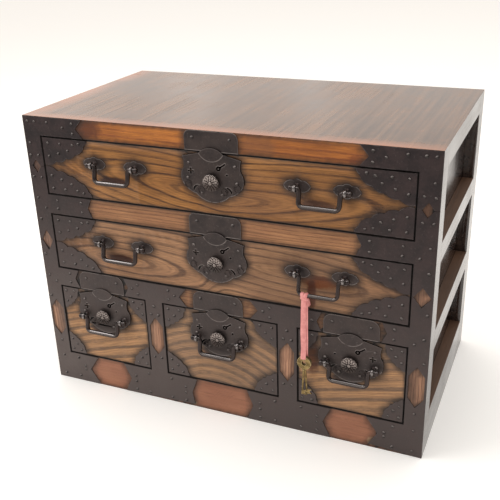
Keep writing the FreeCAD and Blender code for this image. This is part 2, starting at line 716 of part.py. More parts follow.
# Places of the nails on an upright's plates, from its middle line and the floor.
UPRIGHT_NAILS = [
    (f"{side}*({x})", z)
    for side in ("(-1)", "1")
    for x, levels in {
        "0.5": [f"{Z_LOWER} - 8"],
        "6": [f"{WINDOWS[2]} + 37", f"{WINDOWS[2]} - 37"],
        "26": [f"{Z_LOWER} + 8", f"{Z_MIDDLE} - 8"],
        "36": [f"{Z_LOWER} + 16"],
        "44": [f"{Z_SMALL}/2 + 7", f"{Z_SMALL}/2 - 3", "8"],
        "20": ["8", f"{Z_SMALL} - 9"],
    }.items()
    for z in levels
    if not (x == "0.5" and side == "1")
]


# ---------------------------------------------------------------- drawers


class Drawer:
    """One drawer: its opening, what stands over it, and its handles."""

    def __init__(self, name, x, z, rail_above, corner, handles):
        """Keeps the opening's spans, the rail above, the corner plates' legs and the handles."""
        self.name, self.x, self.z, self.rail_above = name, x, z, rail_above
        self.corner, self.handles = corner, handles
        self.middle = f"(({x[0]}) + ({x[1]}))/2"

    def bolt_x(self):
        """The bolt's span across the drawer."""
        return f"{self.middle} - bolt_left", f"{self.middle} - bolt_left + bolt_wide"

    def at(self, right, drop):
        """A point on the lock plate, from the lock's middle and the top of the opening."""
        return number(f"{self.middle} + ({right})"), number(f"{self.z[1]} - ({drop})")

    def boards(self, by="0*joint_gap"):
        """Sides, bottom and back of the box, with the laps they need when grown."""
        x_low, x_high = f"{self.x[0]} + reveal", f"{self.x[1]} - reveal"
        floor = f"{self.z[0]} + slide_gap + bottom_thick"
        deep = (f"{FACE} + front_lap - {by}", f"{REAR} - stop_gap")
        tall = (floor, f"{self.z[1]} - side_drop + {by}")
        sides = [
            box((x_low, f"{x_low} + side_thick + {by}"), deep, tall),
            box((f"{x_high} - side_thick - {by}", x_high), deep, tall),
        ]
        bottom = box((x_low, x_high), deep, (f"{self.z[0]} + slide_gap", f"{floor} + {by}"))
        back = box(
            (f"{x_low} + side_thick", f"{x_high} - side_thick"),
            (f"{REAR} - stop_gap - side_thick", f"{REAR} - stop_gap"),
            tall,
        )
        return sides, bottom, back

    def make_wood(self):
        """The front with its laps, lock recess and holes, and the box behind it."""
        sides, bottom, back = self.boards("joint_gap")
        recess = box(
            grown(f"{self.middle} - case_half", f"{self.middle} + case_half"),
            (FACE, f"{FACE} + case_deep + joint_gap"),
            grown(f"{self.z[1]} - case_drop - case_tall", f"{self.z[1]} - case_drop"),
        )
        channel = box(
            grown(*self.bolt_x(), "bolt_gap"),
            grown(f"{FACE} + bolt_in", f"{FACE} + bolt_in + bolt_thick", "bolt_gap"),
            (f"{self.z[1]} - case_drop - joint_gap", self.z[1]),
        )
        tools = sides + [bottom, recess, channel]
        for handle in self.handles:
            tools += handle.shank_holes(FACE, "front_thick")
        front = box(
            (f"{self.x[0]} + reveal", f"{self.x[1]} - reveal"),
            (FACE, f"{FACE} + front_thick"),
            (f"{self.z[0]} + reveal", f"{self.z[1]} - reveal"),
        )
        keep(cut(front, tools), f"{self.name}_drawer_front")
        sides, bottom, back = self.boards()
        keep(gather([*sides, bottom, back]), f"{self.name}_drawer_box")

    def corner_shape(self, right, up):
        """One corner plate: a straight corner and four scallops. right and up are 1 or -1 for its place."""
        long, tall = number(self.corner[0]), number(self.corner[1])
        edge = number("reveal + iron_inset")
        x = number(self.x[1] if right > 0 else self.x[0]) - right * edge
        z = number(self.z[1] if up > 0 else self.z[0]) - up * edge
        cusps = [(1, 0), (0.94, 0.2), (0.72, 0.54), (0.5, 0.72), (0.26, 0.86), (0, 1)]
        points = [(x, z)]
        for n, (a, b) in enumerate(cusps):
            point = (x - right * a * long, z - up * b * tall)
            if n == 0:
                points.append(point)
                continue
            last = points[-1]
            run, rise = point[0] - last[0], point[1] - last[1]
            swell = number("scallop") * math.hypot(run, rise)
            out = Vector(-right * abs(rise), -up * abs(run), 0).normalize() * swell
            mid = ((point[0] + last[0]) / 2 + out.x, (point[1] + last[1]) / 2 + out.y)
            points.append(point + mid)
        return points, (x, z, long, tall)

    def make_corners(self):
        """Four corner plates with their nails."""
        solids = []
        wide = "wide" in self.corner[0]
        for right in (-1, 1):
            for up in (-1, 1):
                shape, (x, z, long, tall) = self.corner_shape(right, up)
                solids.append(sheet_metal(shape, "iron", FACE))
                for a, b in WIDE_CORNER_NAILS if wide else SMALL_CORNER_NAILS:
                    spot = (x - right * a * long, z - up * b * tall)
                    solids.append(nail(*spot, f"{FACE} - iron"))
        keep(gather(solids), f"{self.name}_drawer_corner_plates")

    def lock_outline(self):
        """A shield with a waist, full cheeks and a rounded foot."""
        half, tall, drop = number("lock_half"), number("lock_tall"), number("lock_drop")
        crest = number("crest_half")

        def on(side, share, down):
            x, z = self.at("0", "0")
            return x + side * share * half, z - drop - down * tall

        def arc(side, share, down, mid_share, mid_down):
            return on(side, share, down) + on(side, mid_share, mid_down)

        shoulder = self.at("0", "reveal + 1")[1]
        middle = self.at("0", "0")[0]
        foot = on(1, -0.53, 0.83) + on(1, 0, 1)
        return [
            arc(-1, 0.93, 0, 0.895, 0.13),
            (middle - crest, shoulder),
            (middle + crest, shoulder),
            on(1, 0.93, 0),
            arc(1, 0.91, 0.26, 0.895, 0.13),
            arc(1, 0.91, 0.65, 1, 0.455),
            arc(1, 0.53, 0.83, 0.75, 0.76),
            foot,
            arc(-1, 0.91, 0.65, 0.75, 0.76),
            arc(-1, 0.91, 0.26, 1, 0.455),
        ]

    def lock_holes(self):
        """Keyhole, button hole, pinhole and the pierced ornament of a lock plate."""
        side = -1 if self.name == "right" else 1
        key = self.at("keyhole_right", "keyhole_drop")
        ward = number("ward_long")
        tip = (key[0] + ward * math.cos(WARD_ANGLE), key[1] + ward * math.sin(WARD_ANGLE))
        holes = [
            circle(*key, number("keyhole_radius")),
            slot(*key, *tip, number("ward_wide")),
            circle(*self.at("0", "button_drop"), number("stem_radius + run_gap")),
            circle(*self.at(f"{side}*pinhole_side", "pinhole_drop"), number("pinhole")),
        ]
        flower = self.at(f"{-side}*flower_side", "flower_drop")
        arm = number("flower_arm")
        for dx, dz in ((arm, 0), (0, arm)):
            ends = (flower[0] - dx, flower[1] - dz, flower[0] + dx, flower[1] + dz)
            holes.append(slot(*ends, number("ward_wide")))
        for turn in (-1, 1):
            low, high, outer, inner = (self.at(f"{turn}*{x}", drop) for x, drop in CRESCENT)
            holes.append([low + inner, high + outer])
        if self.handles[0].small:
            for side in (-1, 1):
                holes.append(circle(*self.at(f"{side}*eye_offset", "small_pivot"), number("shank_bore")))
        return holes

    def make_lock(self):
        """The lock plate with its crest, the case behind it, and its nails."""
        plate = sheet_metal(self.lock_outline(), "lock_thick", FACE, self.lock_holes())
        half = number("crest_half")
        middle, level = self.at("0", "reveal + 1")
        rise, fall = number("crest_rise + reveal + 1"), number("crest_fall - reveal - 1")
        crest = [
            (middle + half, level, middle, level + rise),
            (middle - half, level, middle, level - fall),
        ]
        crest = sheet_metal(crest, "crest_thick", f"{FACE} - lock_thick")
        solids = [fuse([plate, crest]), self.case()]
        for right, drop in LOCK_NAILS:
            solids.append(nail(*self.at(right, drop), f"{FACE} - lock_thick"))
        keep(gather(solids), f"{self.name}_drawer_lock")

    def case(self):
        """The lock's case: a block with a channel for the bolt and holes for stem and key."""
        top = f"({self.z[1]} - case_drop)"
        block = box(
            (f"{self.middle} - case_half", f"{self.middle} + case_half"),
            (FACE, f"{FACE} + case_deep"),
            (f"{top} - case_tall", top),
        )
        bottom = f"{self.z[1]} - reveal - bolt_gap - bolt_long"
        channel = box(
            grown(*self.bolt_x(), "bolt_gap"),
            grown(f"{FACE} + bolt_in", f"{FACE} + bolt_in + bolt_thick", "bolt_gap"),
            (f"{bottom} - bolt_gap", f"{top} + bolt_gap"),
        )
        stem = rod(
            "stem_radius + run_gap",
            "case_deep",
            (self.middle, FACE, f"{self.z[1]} - button_drop"),
            "y",
        )
        keyway = (f"{self.middle} + keyhole_right", FACE, f"{self.z[1]} - keyhole_drop")
        chamber = rod("keyhole_radius + 1", "case_deep - 2", keyway, "y")
        start = (keyway[0], f"{FACE} - lock_thick", keyway[2])
        pin = rod("key_pin", "lock_thick + case_deep - 1", start, "y")
        return fuse([cut(block, [channel, stem, chamber]), pin])

    def make_bolt(self):
        """The bolt that rises into the rail."""
        low, high = (number(x) for x in self.bolt_x())
        head = number(f"{self.z[1]} - reveal - bolt_gap")
        foot = head - number("bolt_long")
        shape = [(low, foot), (high, foot), (high, head), (low, head)]
        bolt = sheet_metal(shape, "bolt_thick", f"{FACE} + bolt_in + bolt_thick")
        keep(bolt, f"{self.name}_drawer_lock_bolt")

    def make_button(self):
        """The round button with its stem, a dish on a post."""
        level = f"{self.z[1]} - button_drop"
        back = f"{FACE} - lock_thick - button_travel - button_gap"
        skirt = rod("button_radius", "button_thick/2", (self.middle, f"{back} - button_thick/2", level), "y")
        dome = doc.addObject("Part::Cone", "dome")
        bind(dome, "Radius1", "button_radius - 1")
        bind(dome, "Radius2", "button_radius/2")
        bind(dome, "Height", "button_thick/2")
        dome.Placement = Placement(Vector(), Rotation(Vector(1, 0, 0), 90))
        place(dome, self.middle, f"{back} - button_thick/2", level)
        reach = "lock_thick + case_deep"
        stem = rod("stem_radius", reach, (self.middle, back, level), "y")
        keep(fuse([skirt, dome, stem]), f"{self.name}_drawer_button")

    def make(self):
        """Every piece of the drawer."""
        self.make_wood()
        self.make_corners()
        self.make_lock()
        self.make_bolt()
        self.make_button()
        solids = [solid for handle in self.handles for solid in handle.posts()]
        keep(gather(solids), f"{self.name}_drawer_handle_posts")
        for handle in self.handles:
            handle.bail()


class Handle:
    """A bail handle on two eyed posts."""

    def __init__(self, node, x, z, small=False, rod_word="rod_radius", drop="bail_drop"):
        """Keeps the handle's node name, its middle, its pivot height and its bail's sizes."""
        self.node, self.x, self.z, self.small = node, x, z, small
        self.rod_word, self.drop = rod_word, drop
        self.pivot_y = f"({FRONT} - pivot_out)"

    def shank_holes(self, face, thick):
        """Holes through a board for the two shanks."""
        return [
            rod("shank_bore", thick, (f"{self.x} + {side}*eye_offset", face, self.z), "y")
            for side in (-1, 1)
        ]

    def posts(self):
        """Two posts, each a shank with an eye, and the rose under each on a wide drawer."""
        solids = []
        for side in (-1, 1):
            x = f"{self.x} + {side}*eye_offset"
            length = f"{FACE} + front_thick + clinch - {self.pivot_y}"
            shank = rod("pin_radius", length, (x, self.pivot_y, self.z), "y")
            eye = rod("eye_radius", "eye_wide", (f"{x} - eye_wide/2", self.pivot_y, self.z), "x")
            start = (f"{x} - eye_wide", self.pivot_y, self.z)
            bore = rod(f"{self.rod_word} + run_gap", "2*eye_wide", start, "x")
            solids.append(cut(fuse([shank, eye]), [bore]))
            if not self.small:
                solids.append(self.rose(number(x), number(self.z)))
        return solids

    def rose(self, x, z):
        """A lobed plate under a post, pointed at both ends."""
        long, tall = number("rose_long/2"), number("rose_tall/2")

        def lobe(a, b, mid_a, mid_b):
            return (x + a * long, z + b * tall, x + mid_a * long, z + mid_b * tall)

        shape = [
            lobe(0.3, 0.78, 0.66, 0.68),
            lobe(-0.3, 0.78, 0, 1),
            lobe(-1, 0, -0.66, 0.68),
            lobe(-0.3, -0.78, -0.66, -0.68),
            lobe(0.3, -0.78, 0, -1),
            lobe(1, 0, 0.66, -0.68),
        ]
        return sheet_metal(shape, "iron", FACE, [circle(x, z, number("shank_bore"))])

    def bail(self):
        """The bail: a bent rod whose ends turn outwards through the eyes to knobs."""
        end = number("eye_offset + eye_wide/2 + knob_radius")
        leg, drop = number("leg_offset"), number(self.drop)
        elbow, corner = number("bail_elbow"), number("bail_corner")
        body = doc.addObject("PartDesign::Body", "bail")
        path = sketch_on(body, "XZ_Plane", bail_line(end, leg, drop, elbow, corner))
        ring = [Part.Circle(Vector(0, 0, 0), Vector(0, 0, 1), number(self.rod_word))]
        section = sketch_on(body, "YZ_Plane", ring)
        section.AttachmentOffset = Placement(Vector(0, 0, -end), Rotation())
        doc.recompute()
        pipe = body.newObject("PartDesign::AdditivePipe", "pipe")
        pipe.Profile = section
        pipe.Spine = (path, [f"Edge{n + 1}" for n in range(len(path.Geometry))])
        knobs = []
        for side in (-1, 1):
            knob = doc.addObject("Part::Sphere", "knob")
            bind(knob, "Radius", "knob_radius")
            knob.Placement = Placement(Vector(side * (end + number("run_gap")), 0, 0), Rotation())
            knobs.append(knob)
        bail = fuse([body, *knobs])
        bail.Placement = Placement(Vector(), Rotation(Vector(1, 0, 0), -number("bail_lean")))
        place(bail, self.x, self.pivot_y, self.z)
        keep(bail, self.node)


def bail_line(end, leg, drop, elbow, corner):
    """The middle line of a bail from the left end to the right one."""
    near, far = elbow * (1 - math.sqrt(0.5)), corner * (1 - math.sqrt(0.5))

    def at(x, z):
        return Vector(x, z, 0)

    left = [
        Part.LineSegment(at(-end, 0), at(-leg - elbow, 0)),
        Part.Arc(at(-leg - elbow, 0), at(-leg - near, -near), at(-leg, -elbow)),
        Part.LineSegment(at(-leg, -elbow), at(-leg, corner - drop)),
        Part.Arc(at(-leg, corner - drop), at(far - leg, far - drop), at(corner - leg, -drop)),
    ]
    right = [
        Part.Arc(at(leg - corner, -drop), at(leg - far, far - drop), at(leg, corner - drop)),
        Part.LineSegment(at(leg, corner - drop), at(leg, -elbow)),
        Part.Arc(at(leg, -elbow), at(leg + near, -near), at(leg + elbow, 0)),
        Part.LineSegment(at(leg + elbow, 0), at(end, 0)),
    ]
    return [*left, Part.LineSegment(at(corner - leg, -drop), at(leg - corner, -drop)), *right]


WARD_ANGLE = math.radians(35)  # how steeply the slot beside a keyhole rises
LOCK_NAILS = [("-34", "17"), ("34", "17"), ("-36", "38"), ("36", "40"), ("-16", "58"), ("14", "58")]
CRESCENT = [("28", "56"), ("20", "47"), ("27", "49"), ("25", "51")]  # ends, outer and inner middle
WIDE_CORNER_NAILS = [
    (0.12, 0.2),
    (0.4, 0.2),
    (0.68, 0.2),
    (0.82, 0.14),
    (0.12, 0.68),
    (0.34, 0.56),
    (0.56, 0.42),
]
SMALL_CORNER_NAILS = [(0.2, 0.18), (0.72, 0.16), (0.2, 0.66), (0.48, 0.44)]
WIDE_SPAN = (f"-{POST}", POST)


def wide_drawer(name, z, rail_above, right_rod=("rod_radius", "bail_drop")):
    """A drawer over the whole width, with two handles."""
    pivot = f"({z[0]} + wide_pivot)"
    handles = [
        Handle(f"{name}_left_bail", "(-handle_offset)", pivot),
        Handle(f"{name}_right_bail", "handle_offset", pivot, False, *right_rod),
    ]
    return Drawer(name, WIDE_SPAN, z, rail_above, ("wide_corner_long", "wide_corner_tall"), handles)


def small_drawer(name, x, long):
    """A drawer of the bottom row, with one handle over its lock plate."""
    handle = Handle(f"{name}_bail", f"(({x[0]}) + ({x[1]}))/2", f"({Z_LOWER} - small_pivot)", True)
    corner = (long, "small_corner_tall")
    return Drawer(name, x, (Z_SMALL, Z_LOWER), (Z_LOWER, Z_MIDDLE), corner, [handle])


DRAWERS = [
    wide_drawer("top", (Z_TOP, Z_CAP), (Z_CAP, Z_HEAD)),
    wide_drawer("middle", (Z_MIDDLE, Z_UPPER), (Z_UPPER, Z_TOP), ("thin_rod", "long_drop")),
    small_drawer("left", (f"-{POST}", DIVIDERS["left"]), "side_corner_long"),
    small_drawer(
        "centre", (f"{DIVIDERS['left']} + divider_wide", DIVIDERS["right"]), "centre_corner_long"
    ),
    small_drawer("right", (RIGHT_OPENING, POST), "side_corner_long"),
]


# ---------------------------------------------------------------- ribbon and keys


def make_keys():
    """A ribbon hitched to the thinner bail, and two keys hanging on it."""
    x = "(handle_offset - ribbon_left)"
    pivot_y, pivot_z = f"({FRONT} - pivot_out)", f"({Z_MIDDLE} + wide_pivot)"
    y = f"({pivot_y} - long_drop*sin(bail_lean))"
    z = f"({pivot_z} - long_drop*cos(bail_lean))"
    bow = f"({z} - ribbon_long)"
    hitch = rod("hitch_radius", "hitch_wide", (f"{x} - hitch_wide/2", y, z), "x")
    across = (f"{x} - ribbon_wide/2", f"{x} + ribbon_wide/2")
    half = "(key_apart/2 + key_thick/2 + soft_gap)"
    strap = box(
        across,
        (f"{y} - ribbon_thick/2", f"{y} + ribbon_thick/2"),
        (f"{bow} + bow_radius + soft_gap", f"{z} - hitch_radius + 1"),
    )
    wall = "ribbon_thick/3"
    eye_floor = f"({bow} + bow_hole/2 + 1 - soft_gap)"
    eye_top = f"({bow} + bow_radius + soft_gap)"
    loop = box(across, grown(f"{y} - {half}", f"{y} + {half}", wall), grown(eye_floor, eye_top, wall))
    gap = box(grown(*across), (f"{y} - {half}", f"{y} + {half}"), (eye_floor, eye_top))
    bore = rod("thin_rod + soft_gap", "2*hitch_wide", (f"{x} - hitch_wide", y, z), "x")
    keep(cut(fuse([hitch, strap, loop]), [gap, bore]), "key_ribbon")

    keys = []
    for side in (-1, 1):
        disc = rod("bow_radius", "key_thick", ("0", "-key_thick/2", "0"), "y")
        hole = rod("bow_hole", "2*key_thick", ("0", "-key_thick", "0"), "y")
        shank = rod("shank_radius", "key_long - bow_hole - 1", ("0", "0", "-key_long"), "z")
        bit = box(
            ("0", "bit_wide"),
            ("-key_thick/2", "key_thick/2"),
            ("-key_long", "-key_long + bit_tall"),
        )
        key = fuse([cut(disc, [hole]), shank, bit])
        key.Placement = Placement(Vector(), Rotation(Vector(0, 1, 0), side * number("key_splay")))
        place(key, x, f"{y} + {side}*key_apart/2", bow)
        keys.append(key)
    keep(gather(keys), "keys")


# ---------------------------------------------------------------- checks and export


def check():
    """Stops if any object failed or any part is not sound."""
    for thing in doc.Objects:
        if {"Invalid", "Error"} & set(thing.State):
            raise RuntimeError(f"{thing.Name} ({thing.Label}) failed: {thing.State}")
    for part in parts:
        if part.Shape.isNull() or not part.Shape.isValid() or not part.Shape.Solids:
            raise RuntimeError(f"{part.Label} is not a valid solid")


def export():
    """Writes each part to its own file."""
    os.makedirs("parts", exist_ok=True)
    for part in parts:
        part.Shape.exportStep(f"parts/{part.Label}.step")
    print(f"{len(parts)} parts, {sum(len(part.Shape.Solids) for part in parts)} solids")


fill_sheet()
make_frame()
make_panels()
make_inside()
make_ironwork()
for piece in DRAWERS:
    piece.make()
make_keys()
doc.recompute()
check()
export()
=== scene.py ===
"""The finished look of a small five-drawer chest with iron mounts.

The joiner's boards, the smith's plates, locks and bails, and the keys on their ribbon are each
shaped, dressed and set on the body that carries them. Lengths in the dataclasses are millimetres.
"""
from __future__ import annotations

import json
import logging
import math
import random
from collections.abc import Callable, Iterable, Iterator, Sequence
from contextlib import contextmanager
from dataclasses import dataclass, field
from enum import Enum

import bmesh
import bpy
from mathutils import Euler, Matrix, Vector
from mathutils.bvhtree import BVHTree
from mathutils.kdtree import KDTree

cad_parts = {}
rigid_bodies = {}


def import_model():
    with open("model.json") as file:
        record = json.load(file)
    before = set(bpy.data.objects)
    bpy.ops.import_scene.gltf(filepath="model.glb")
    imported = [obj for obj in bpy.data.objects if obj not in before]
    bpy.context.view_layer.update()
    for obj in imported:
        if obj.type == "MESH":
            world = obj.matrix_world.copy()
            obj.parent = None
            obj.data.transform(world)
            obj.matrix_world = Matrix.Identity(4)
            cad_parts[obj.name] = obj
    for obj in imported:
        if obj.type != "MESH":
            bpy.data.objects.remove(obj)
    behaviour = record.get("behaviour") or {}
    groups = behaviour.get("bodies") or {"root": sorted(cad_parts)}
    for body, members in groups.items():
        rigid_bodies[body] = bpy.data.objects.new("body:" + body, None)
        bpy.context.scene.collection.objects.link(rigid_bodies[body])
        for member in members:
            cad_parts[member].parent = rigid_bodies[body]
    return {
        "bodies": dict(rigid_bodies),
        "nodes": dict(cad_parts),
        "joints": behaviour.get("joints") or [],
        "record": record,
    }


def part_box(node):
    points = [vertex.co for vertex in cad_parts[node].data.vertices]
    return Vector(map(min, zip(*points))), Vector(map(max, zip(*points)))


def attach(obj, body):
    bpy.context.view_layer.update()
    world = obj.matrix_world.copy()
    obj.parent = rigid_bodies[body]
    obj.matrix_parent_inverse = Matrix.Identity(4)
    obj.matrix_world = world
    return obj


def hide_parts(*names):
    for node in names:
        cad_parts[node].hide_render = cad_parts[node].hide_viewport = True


LOG = logging.getLogger("chest")
MM = 0.001
DRAWERS = ("top", "middle", "left", "centre", "right")
TOP_LEVEL = 439.5 * MM  # what lies higher belongs to the top of the chest
PIVOT_OUT = 9.0  # how far a bail's pivot stands before the front, in millimetres
FRONTAL = -0.95  # a face whose normal's y is lower faces the front
BOARD_ANGLE = 60.0  # a board's edges are eased from this angle, in degrees
TURNED = (math.pi / 2, 0.0, 0.0)  # lays what is made upright along the chest's depth
ACROSS = (0.0, math.pi / 2, 0.0)  # lays it along the chest's width

Triple = tuple[float, float, float]
Colour = tuple[float, float, float]
Piece = bpy.types.Object
Node = bpy.types.Node
Socket = bpy.types.NodeSocket
FaceTest = Callable[[Vector, Vector], bool]


class Slot(str, Enum):
    """The finishes that the chest's record names."""

    LACQUER = "lacquered_wood"
    FRONT = "front_wood"
    IRON = "iron"
    RIBBON = "ribbon"
    BRASS = "key_brass"


class Grain(Enum):
    """Which way the fibres of a board run."""

    ALONG = "x"
    DEEP = "y"
    UPRIGHT = "z"

    @property
    def turn(self) -> tuple[float, float, float]:
        """The turn that lays fibres which run this way along x."""
        return {"x": (0.0, 0.0, 0.0), "y": (0.0, 0.0, math.pi / 2), "z": ACROSS}[self.value]

    def drawn(self, long: float, short: float) -> tuple[float, ...]:
        """The scale of a pattern that is drawn out along the fibres."""
        return tuple(long if axis == self.value else short for axis in "xyz")


# ------------------------------------------------------------------ workbench


def clear_selection() -> None:
    """Deselects everything, since an operator acts on all that is selected."""
    bpy.ops.object.select_all(action="DESELECT")


def take(piece: Piece) -> Piece:
    """Makes one piece the only selected and active one.

    Args:
        piece: The piece to work on.

    Returns:
        The same piece.
    """
    clear_selection()
    piece.select_set(True)
    bpy.context.view_layer.objects.active = piece
    return piece


@contextmanager
def editing(piece: Piece, mode: str = "FACE") -> Iterator[None]:
    """Opens a piece in edit mode with nothing selected, and closes it again.

    Args:
        piece: The piece to shape.
        mode: What is picked: VERT, EDGE or FACE.
    """
    take(piece)
    bpy.ops.object.mode_set(mode="EDIT")
    bpy.ops.mesh.select_mode(type=mode)
    bpy.ops.mesh.select_all(action="DESELECT")
    yield
    bpy.ops.object.mode_set(mode="OBJECT")


def pick_faces(piece: Piece, wanted: FaceTest) -> None:
    """Selects the faces that pass a test, in edit mode.

    Args:
        piece: The piece being edited.
        wanted: Takes a face's centre and normal.
    """
    mesh = bmesh.from_edit_mesh(piece.data)
    for face in mesh.faces:
        face.select_set(wanted(face.calc_center_median(), face.normal))
    mesh.select_flush_mode()
    bmesh.update_edit_mesh(piece.data)


def pick_verts(piece: Piece, wanted: Callable[[Vector], bool]) -> int:
    """Selects the vertices that pass a test, in edit mode.

    Args:
        piece: The piece being edited.
        wanted: Takes a vertex's place.

    Returns:
        How many vertices are selected.
    """
    mesh = bmesh.from_edit_mesh(piece.data)
    for vertex in mesh.verts:
        vertex.select_set(wanted(vertex.co))
    mesh.select_flush_mode()
    bmesh.update_edit_mesh(piece.data)
    return sum(vertex.select for vertex in mesh.verts)


def pick_all() -> None:
    """Selects the whole mesh that is being edited."""
    bpy.ops.mesh.select_all(action="SELECT")


def stretch(share: Sequence[float], middle: Sequence[float] = (0, 0, 0)) -> None:
    """Stretches the whole mesh that is being edited about a point."""
    pick_all()
    bpy.ops.transform.resize(value=share, center_override=middle)


def close_ends() -> None:
    """Closes the open ends of the mesh that is being edited, and turns its faces outwards."""
    pick_all()
    bpy.ops.mesh.fill_holes(sides=0)
    bpy.ops.mesh.normals_make_consistent(inside=False)


def settled(piece: Piece, name: str = "") -> Piece:
    """Moves a piece's place, turn and size into its mesh.

    Args:
        piece: The piece.
        name: Its new name, if it gets one.

    Returns:
        The same piece.
    """
    take(piece)
    bpy.ops.object.transform_apply(location=True, rotation=True, scale=True)
    if name:
        piece.name = piece.data.name = name
    return piece


def added() -> Piece:
    """The primitive that was just added, with its place in its mesh."""
    return settled(bpy.context.view_layer.objects.active)


def round_bar(
    place: Sequence[float], radius: float, long: float, sides: int, turn: Triple = TURNED
) -> Piece:
    """A round bar.

    Args:
        place: Its middle, in metres.
        radius: Its radius, in millimetres.
        long: Its length, in millimetres.
        sides: How many sides it has round.
        turn: How it is turned from upright.

    Returns:
        The bar.
    """
    bpy.ops.mesh.primitive_cylinder_add(
        vertices=sides, radius=radius * MM, depth=long * MM, location=place, rotation=turn
    )
    return added()


def ball(
    place: Sequence[float], radius: float, segments: int, rings: int, turn: Triple = (0.0, 0.0, 0.0)
) -> Piece:
    """A ball.

    Args:
        place: Its middle, in metres.
        radius: Its radius, in millimetres.
        segments: How many segments it has round.
        rings: How many rings it has from pole to pole.
        turn: How its poles are turned from upright.

    Returns:
        The ball.
    """
    bpy.ops.mesh.primitive_uv_sphere_add(
        segments=segments, ring_count=rings, radius=radius * MM, location=place, rotation=turn
    )
    return added()


def joined(pieces: Sequence[Piece], name: str) -> Piece:
    """Joins pieces into one.

    Args:
        pieces: The pieces, each with its place in its mesh.
        name: The name of the result.

    Returns:
        The one piece.
    """
    clear_selection()
    for piece in pieces:
        piece.select_set(True)
    bpy.context.view_layer.objects.active = pieces[0]
    if len(pieces) > 1:
        bpy.ops.object.join()
    pieces[0].name = pieces[0].data.name = name
    return pieces[0]


def twin(piece: Piece, move: Matrix) -> Piece:
    """A copy of a piece with its own mesh, moved.

    Args:
        piece: What is copied.
        move: Where the copy goes.

    Returns:
        The copy.
    """
    copy = bpy.data.objects.new(piece.name, piece.data.copy())
    bpy.context.scene.collection.objects.link(copy)
    copy.data.transform(move)
    return copy


def dropped(pieces: Iterable[Piece]) -> None:
    """Removes pieces that were only patterns."""
    for piece in list(pieces):
        bpy.data.objects.remove(piece)


def finished(piece: Piece, modifier: bpy.types.Modifier) -> None:
    """Applies a modifier."""
    take(piece)
    bpy.ops.object.modifier_apply(modifier=modifier.name)


def smoothed(piece: Piece, degrees: float = 40.0) -> Piece:
    """Shades a piece smooth, apart from its sharp edges.

    Args:
        piece: The piece.
        degrees: The angle from which an edge stays sharp.

    Returns:
        The same piece.
    """
    take(piece)
    bpy.ops.object.shade_smooth_by_angle(angle=math.radians(degrees))
    return piece


def corners_of(piece: Piece) -> tuple[Vector, Vector]:
    """Measures a piece's mesh.

    Args:
        piece: The piece.

    Returns:
        Its lowest and its highest corner.
    """
    places = [vertex.co for vertex in piece.data.vertices]
    low = Vector(min(place[k] for place in places) for k in range(3))
    high = Vector(max(place[k] for place in places) for k in range(3))
    return low, high


def seat_of(nail: Piece) -> Vector:
    """Where a nail's head meets its plate: the middle of its back."""
    low, high = corners_of(nail)
    return Vector(((low.x + high.x) / 2, high.y, (low.z + high.z) / 2))


def pattern_of(frame: dict, node: str, name: str) -> Piece:
    """A merged copy of a built piece, which may be shaped further.

    Args:
        node: The built piece.
        name: The copy's name.

    Returns:
        The copy, with flat faces made whole.
    """
    copy = twin(frame["nodes"][node], Matrix())
    copy.name = copy.data.name = name
    copy.data.materials.clear()
    take(copy)
    bpy.ops.mesh.customdata_custom_splitnormals_clear()
    with editing(copy):
        pick_all()
        bpy.ops.mesh.remove_doubles(threshold=0.002 * MM)
        bpy.ops.mesh.dissolve_limited(angle_limit=math.radians(0.4))
    return copy


def loose_parts(piece: Piece) -> list[Piece]:
    """Splits a piece into its separate solids.

    Args:
        piece: The piece, which becomes one of them.

    Returns:
        The solids.
    """
    with editing(piece):
        pick_all()
        bpy.ops.mesh.separate(type="LOOSE")
    return [thing for thing in bpy.context.selected_objects if thing.type == "MESH"]


def weighed(piece: Piece, angle: float, spare: Callable[[Vector], bool]) -> None:
    """Marks for rounding the sharp edges whose middle isn't spared.

    Args:
        piece: The piece.
        angle: The least angle that is rounded, in degrees.
        spare: Takes an edge's middle.
    """
    mesh = piece.data
    sides: dict[tuple[int, int], list[Vector]] = {}
    for face in mesh.polygons:
        for key in face.edge_keys:
            sides.setdefault(key, []).append(face.normal)
    weights = mesh.attributes.new("bevel_weight_edge", "FLOAT", "EDGE")
    for edge in mesh.edges:
        near = sides.get(edge.key, [])
        middle = (mesh.vertices[edge.vertices[0]].co + mesh.vertices[edge.vertices[1]].co) / 2
        sharp = len(near) == 2 and near[0].angle(near[1], 0.0) > math.radians(angle)
        weights.data[edge.index].value = 1.0 if sharp and not spare(middle) else 0.0


def eased(
    piece: Piece,
    width: float,
    angle: float = 32.0,
    spare: Callable[[Vector], bool] | None = None,
    below: float = 1.0,
) -> Piece:
    """Rounds the sharp edges, and notes in the attribute "worn" how rubbed each corner is; edges
    that face up count in full, as a painted highlight.

    Args:
        piece: The piece.
        width: How far the rounding reaches from an edge.
        angle: The least angle that is rounded, in degrees.
        spare: Takes an edge's middle, and says whether that edge stays sharp.
        below: How rubbed the edges that don't face up are; those that face up get one, a painted
            highlight from above.

    Returns:
        The same piece.
    """
    mesh = piece.data
    while len(mesh.materials) < 2:
        mesh.materials.append(None)
    bevel = piece.modifiers.new("eased", "BEVEL")
    bevel.width = width * MM
    bevel.segments = 2
    if spare:
        weighed(piece, angle, spare)
        bevel.limit_method = "WEIGHT"
    else:
        bevel.limit_method = "ANGLE"
        bevel.angle_limit = math.radians(angle)
    bevel.material = 1
    finished(piece, bevel)
    note_wear_and_highlight(piece, below)
    smoothed(piece)
    flat = piece.modifiers.new("flat_faces", "WEIGHTED_NORMAL")
    flat.keep_sharp = True
    finished(piece, flat)
    return piece


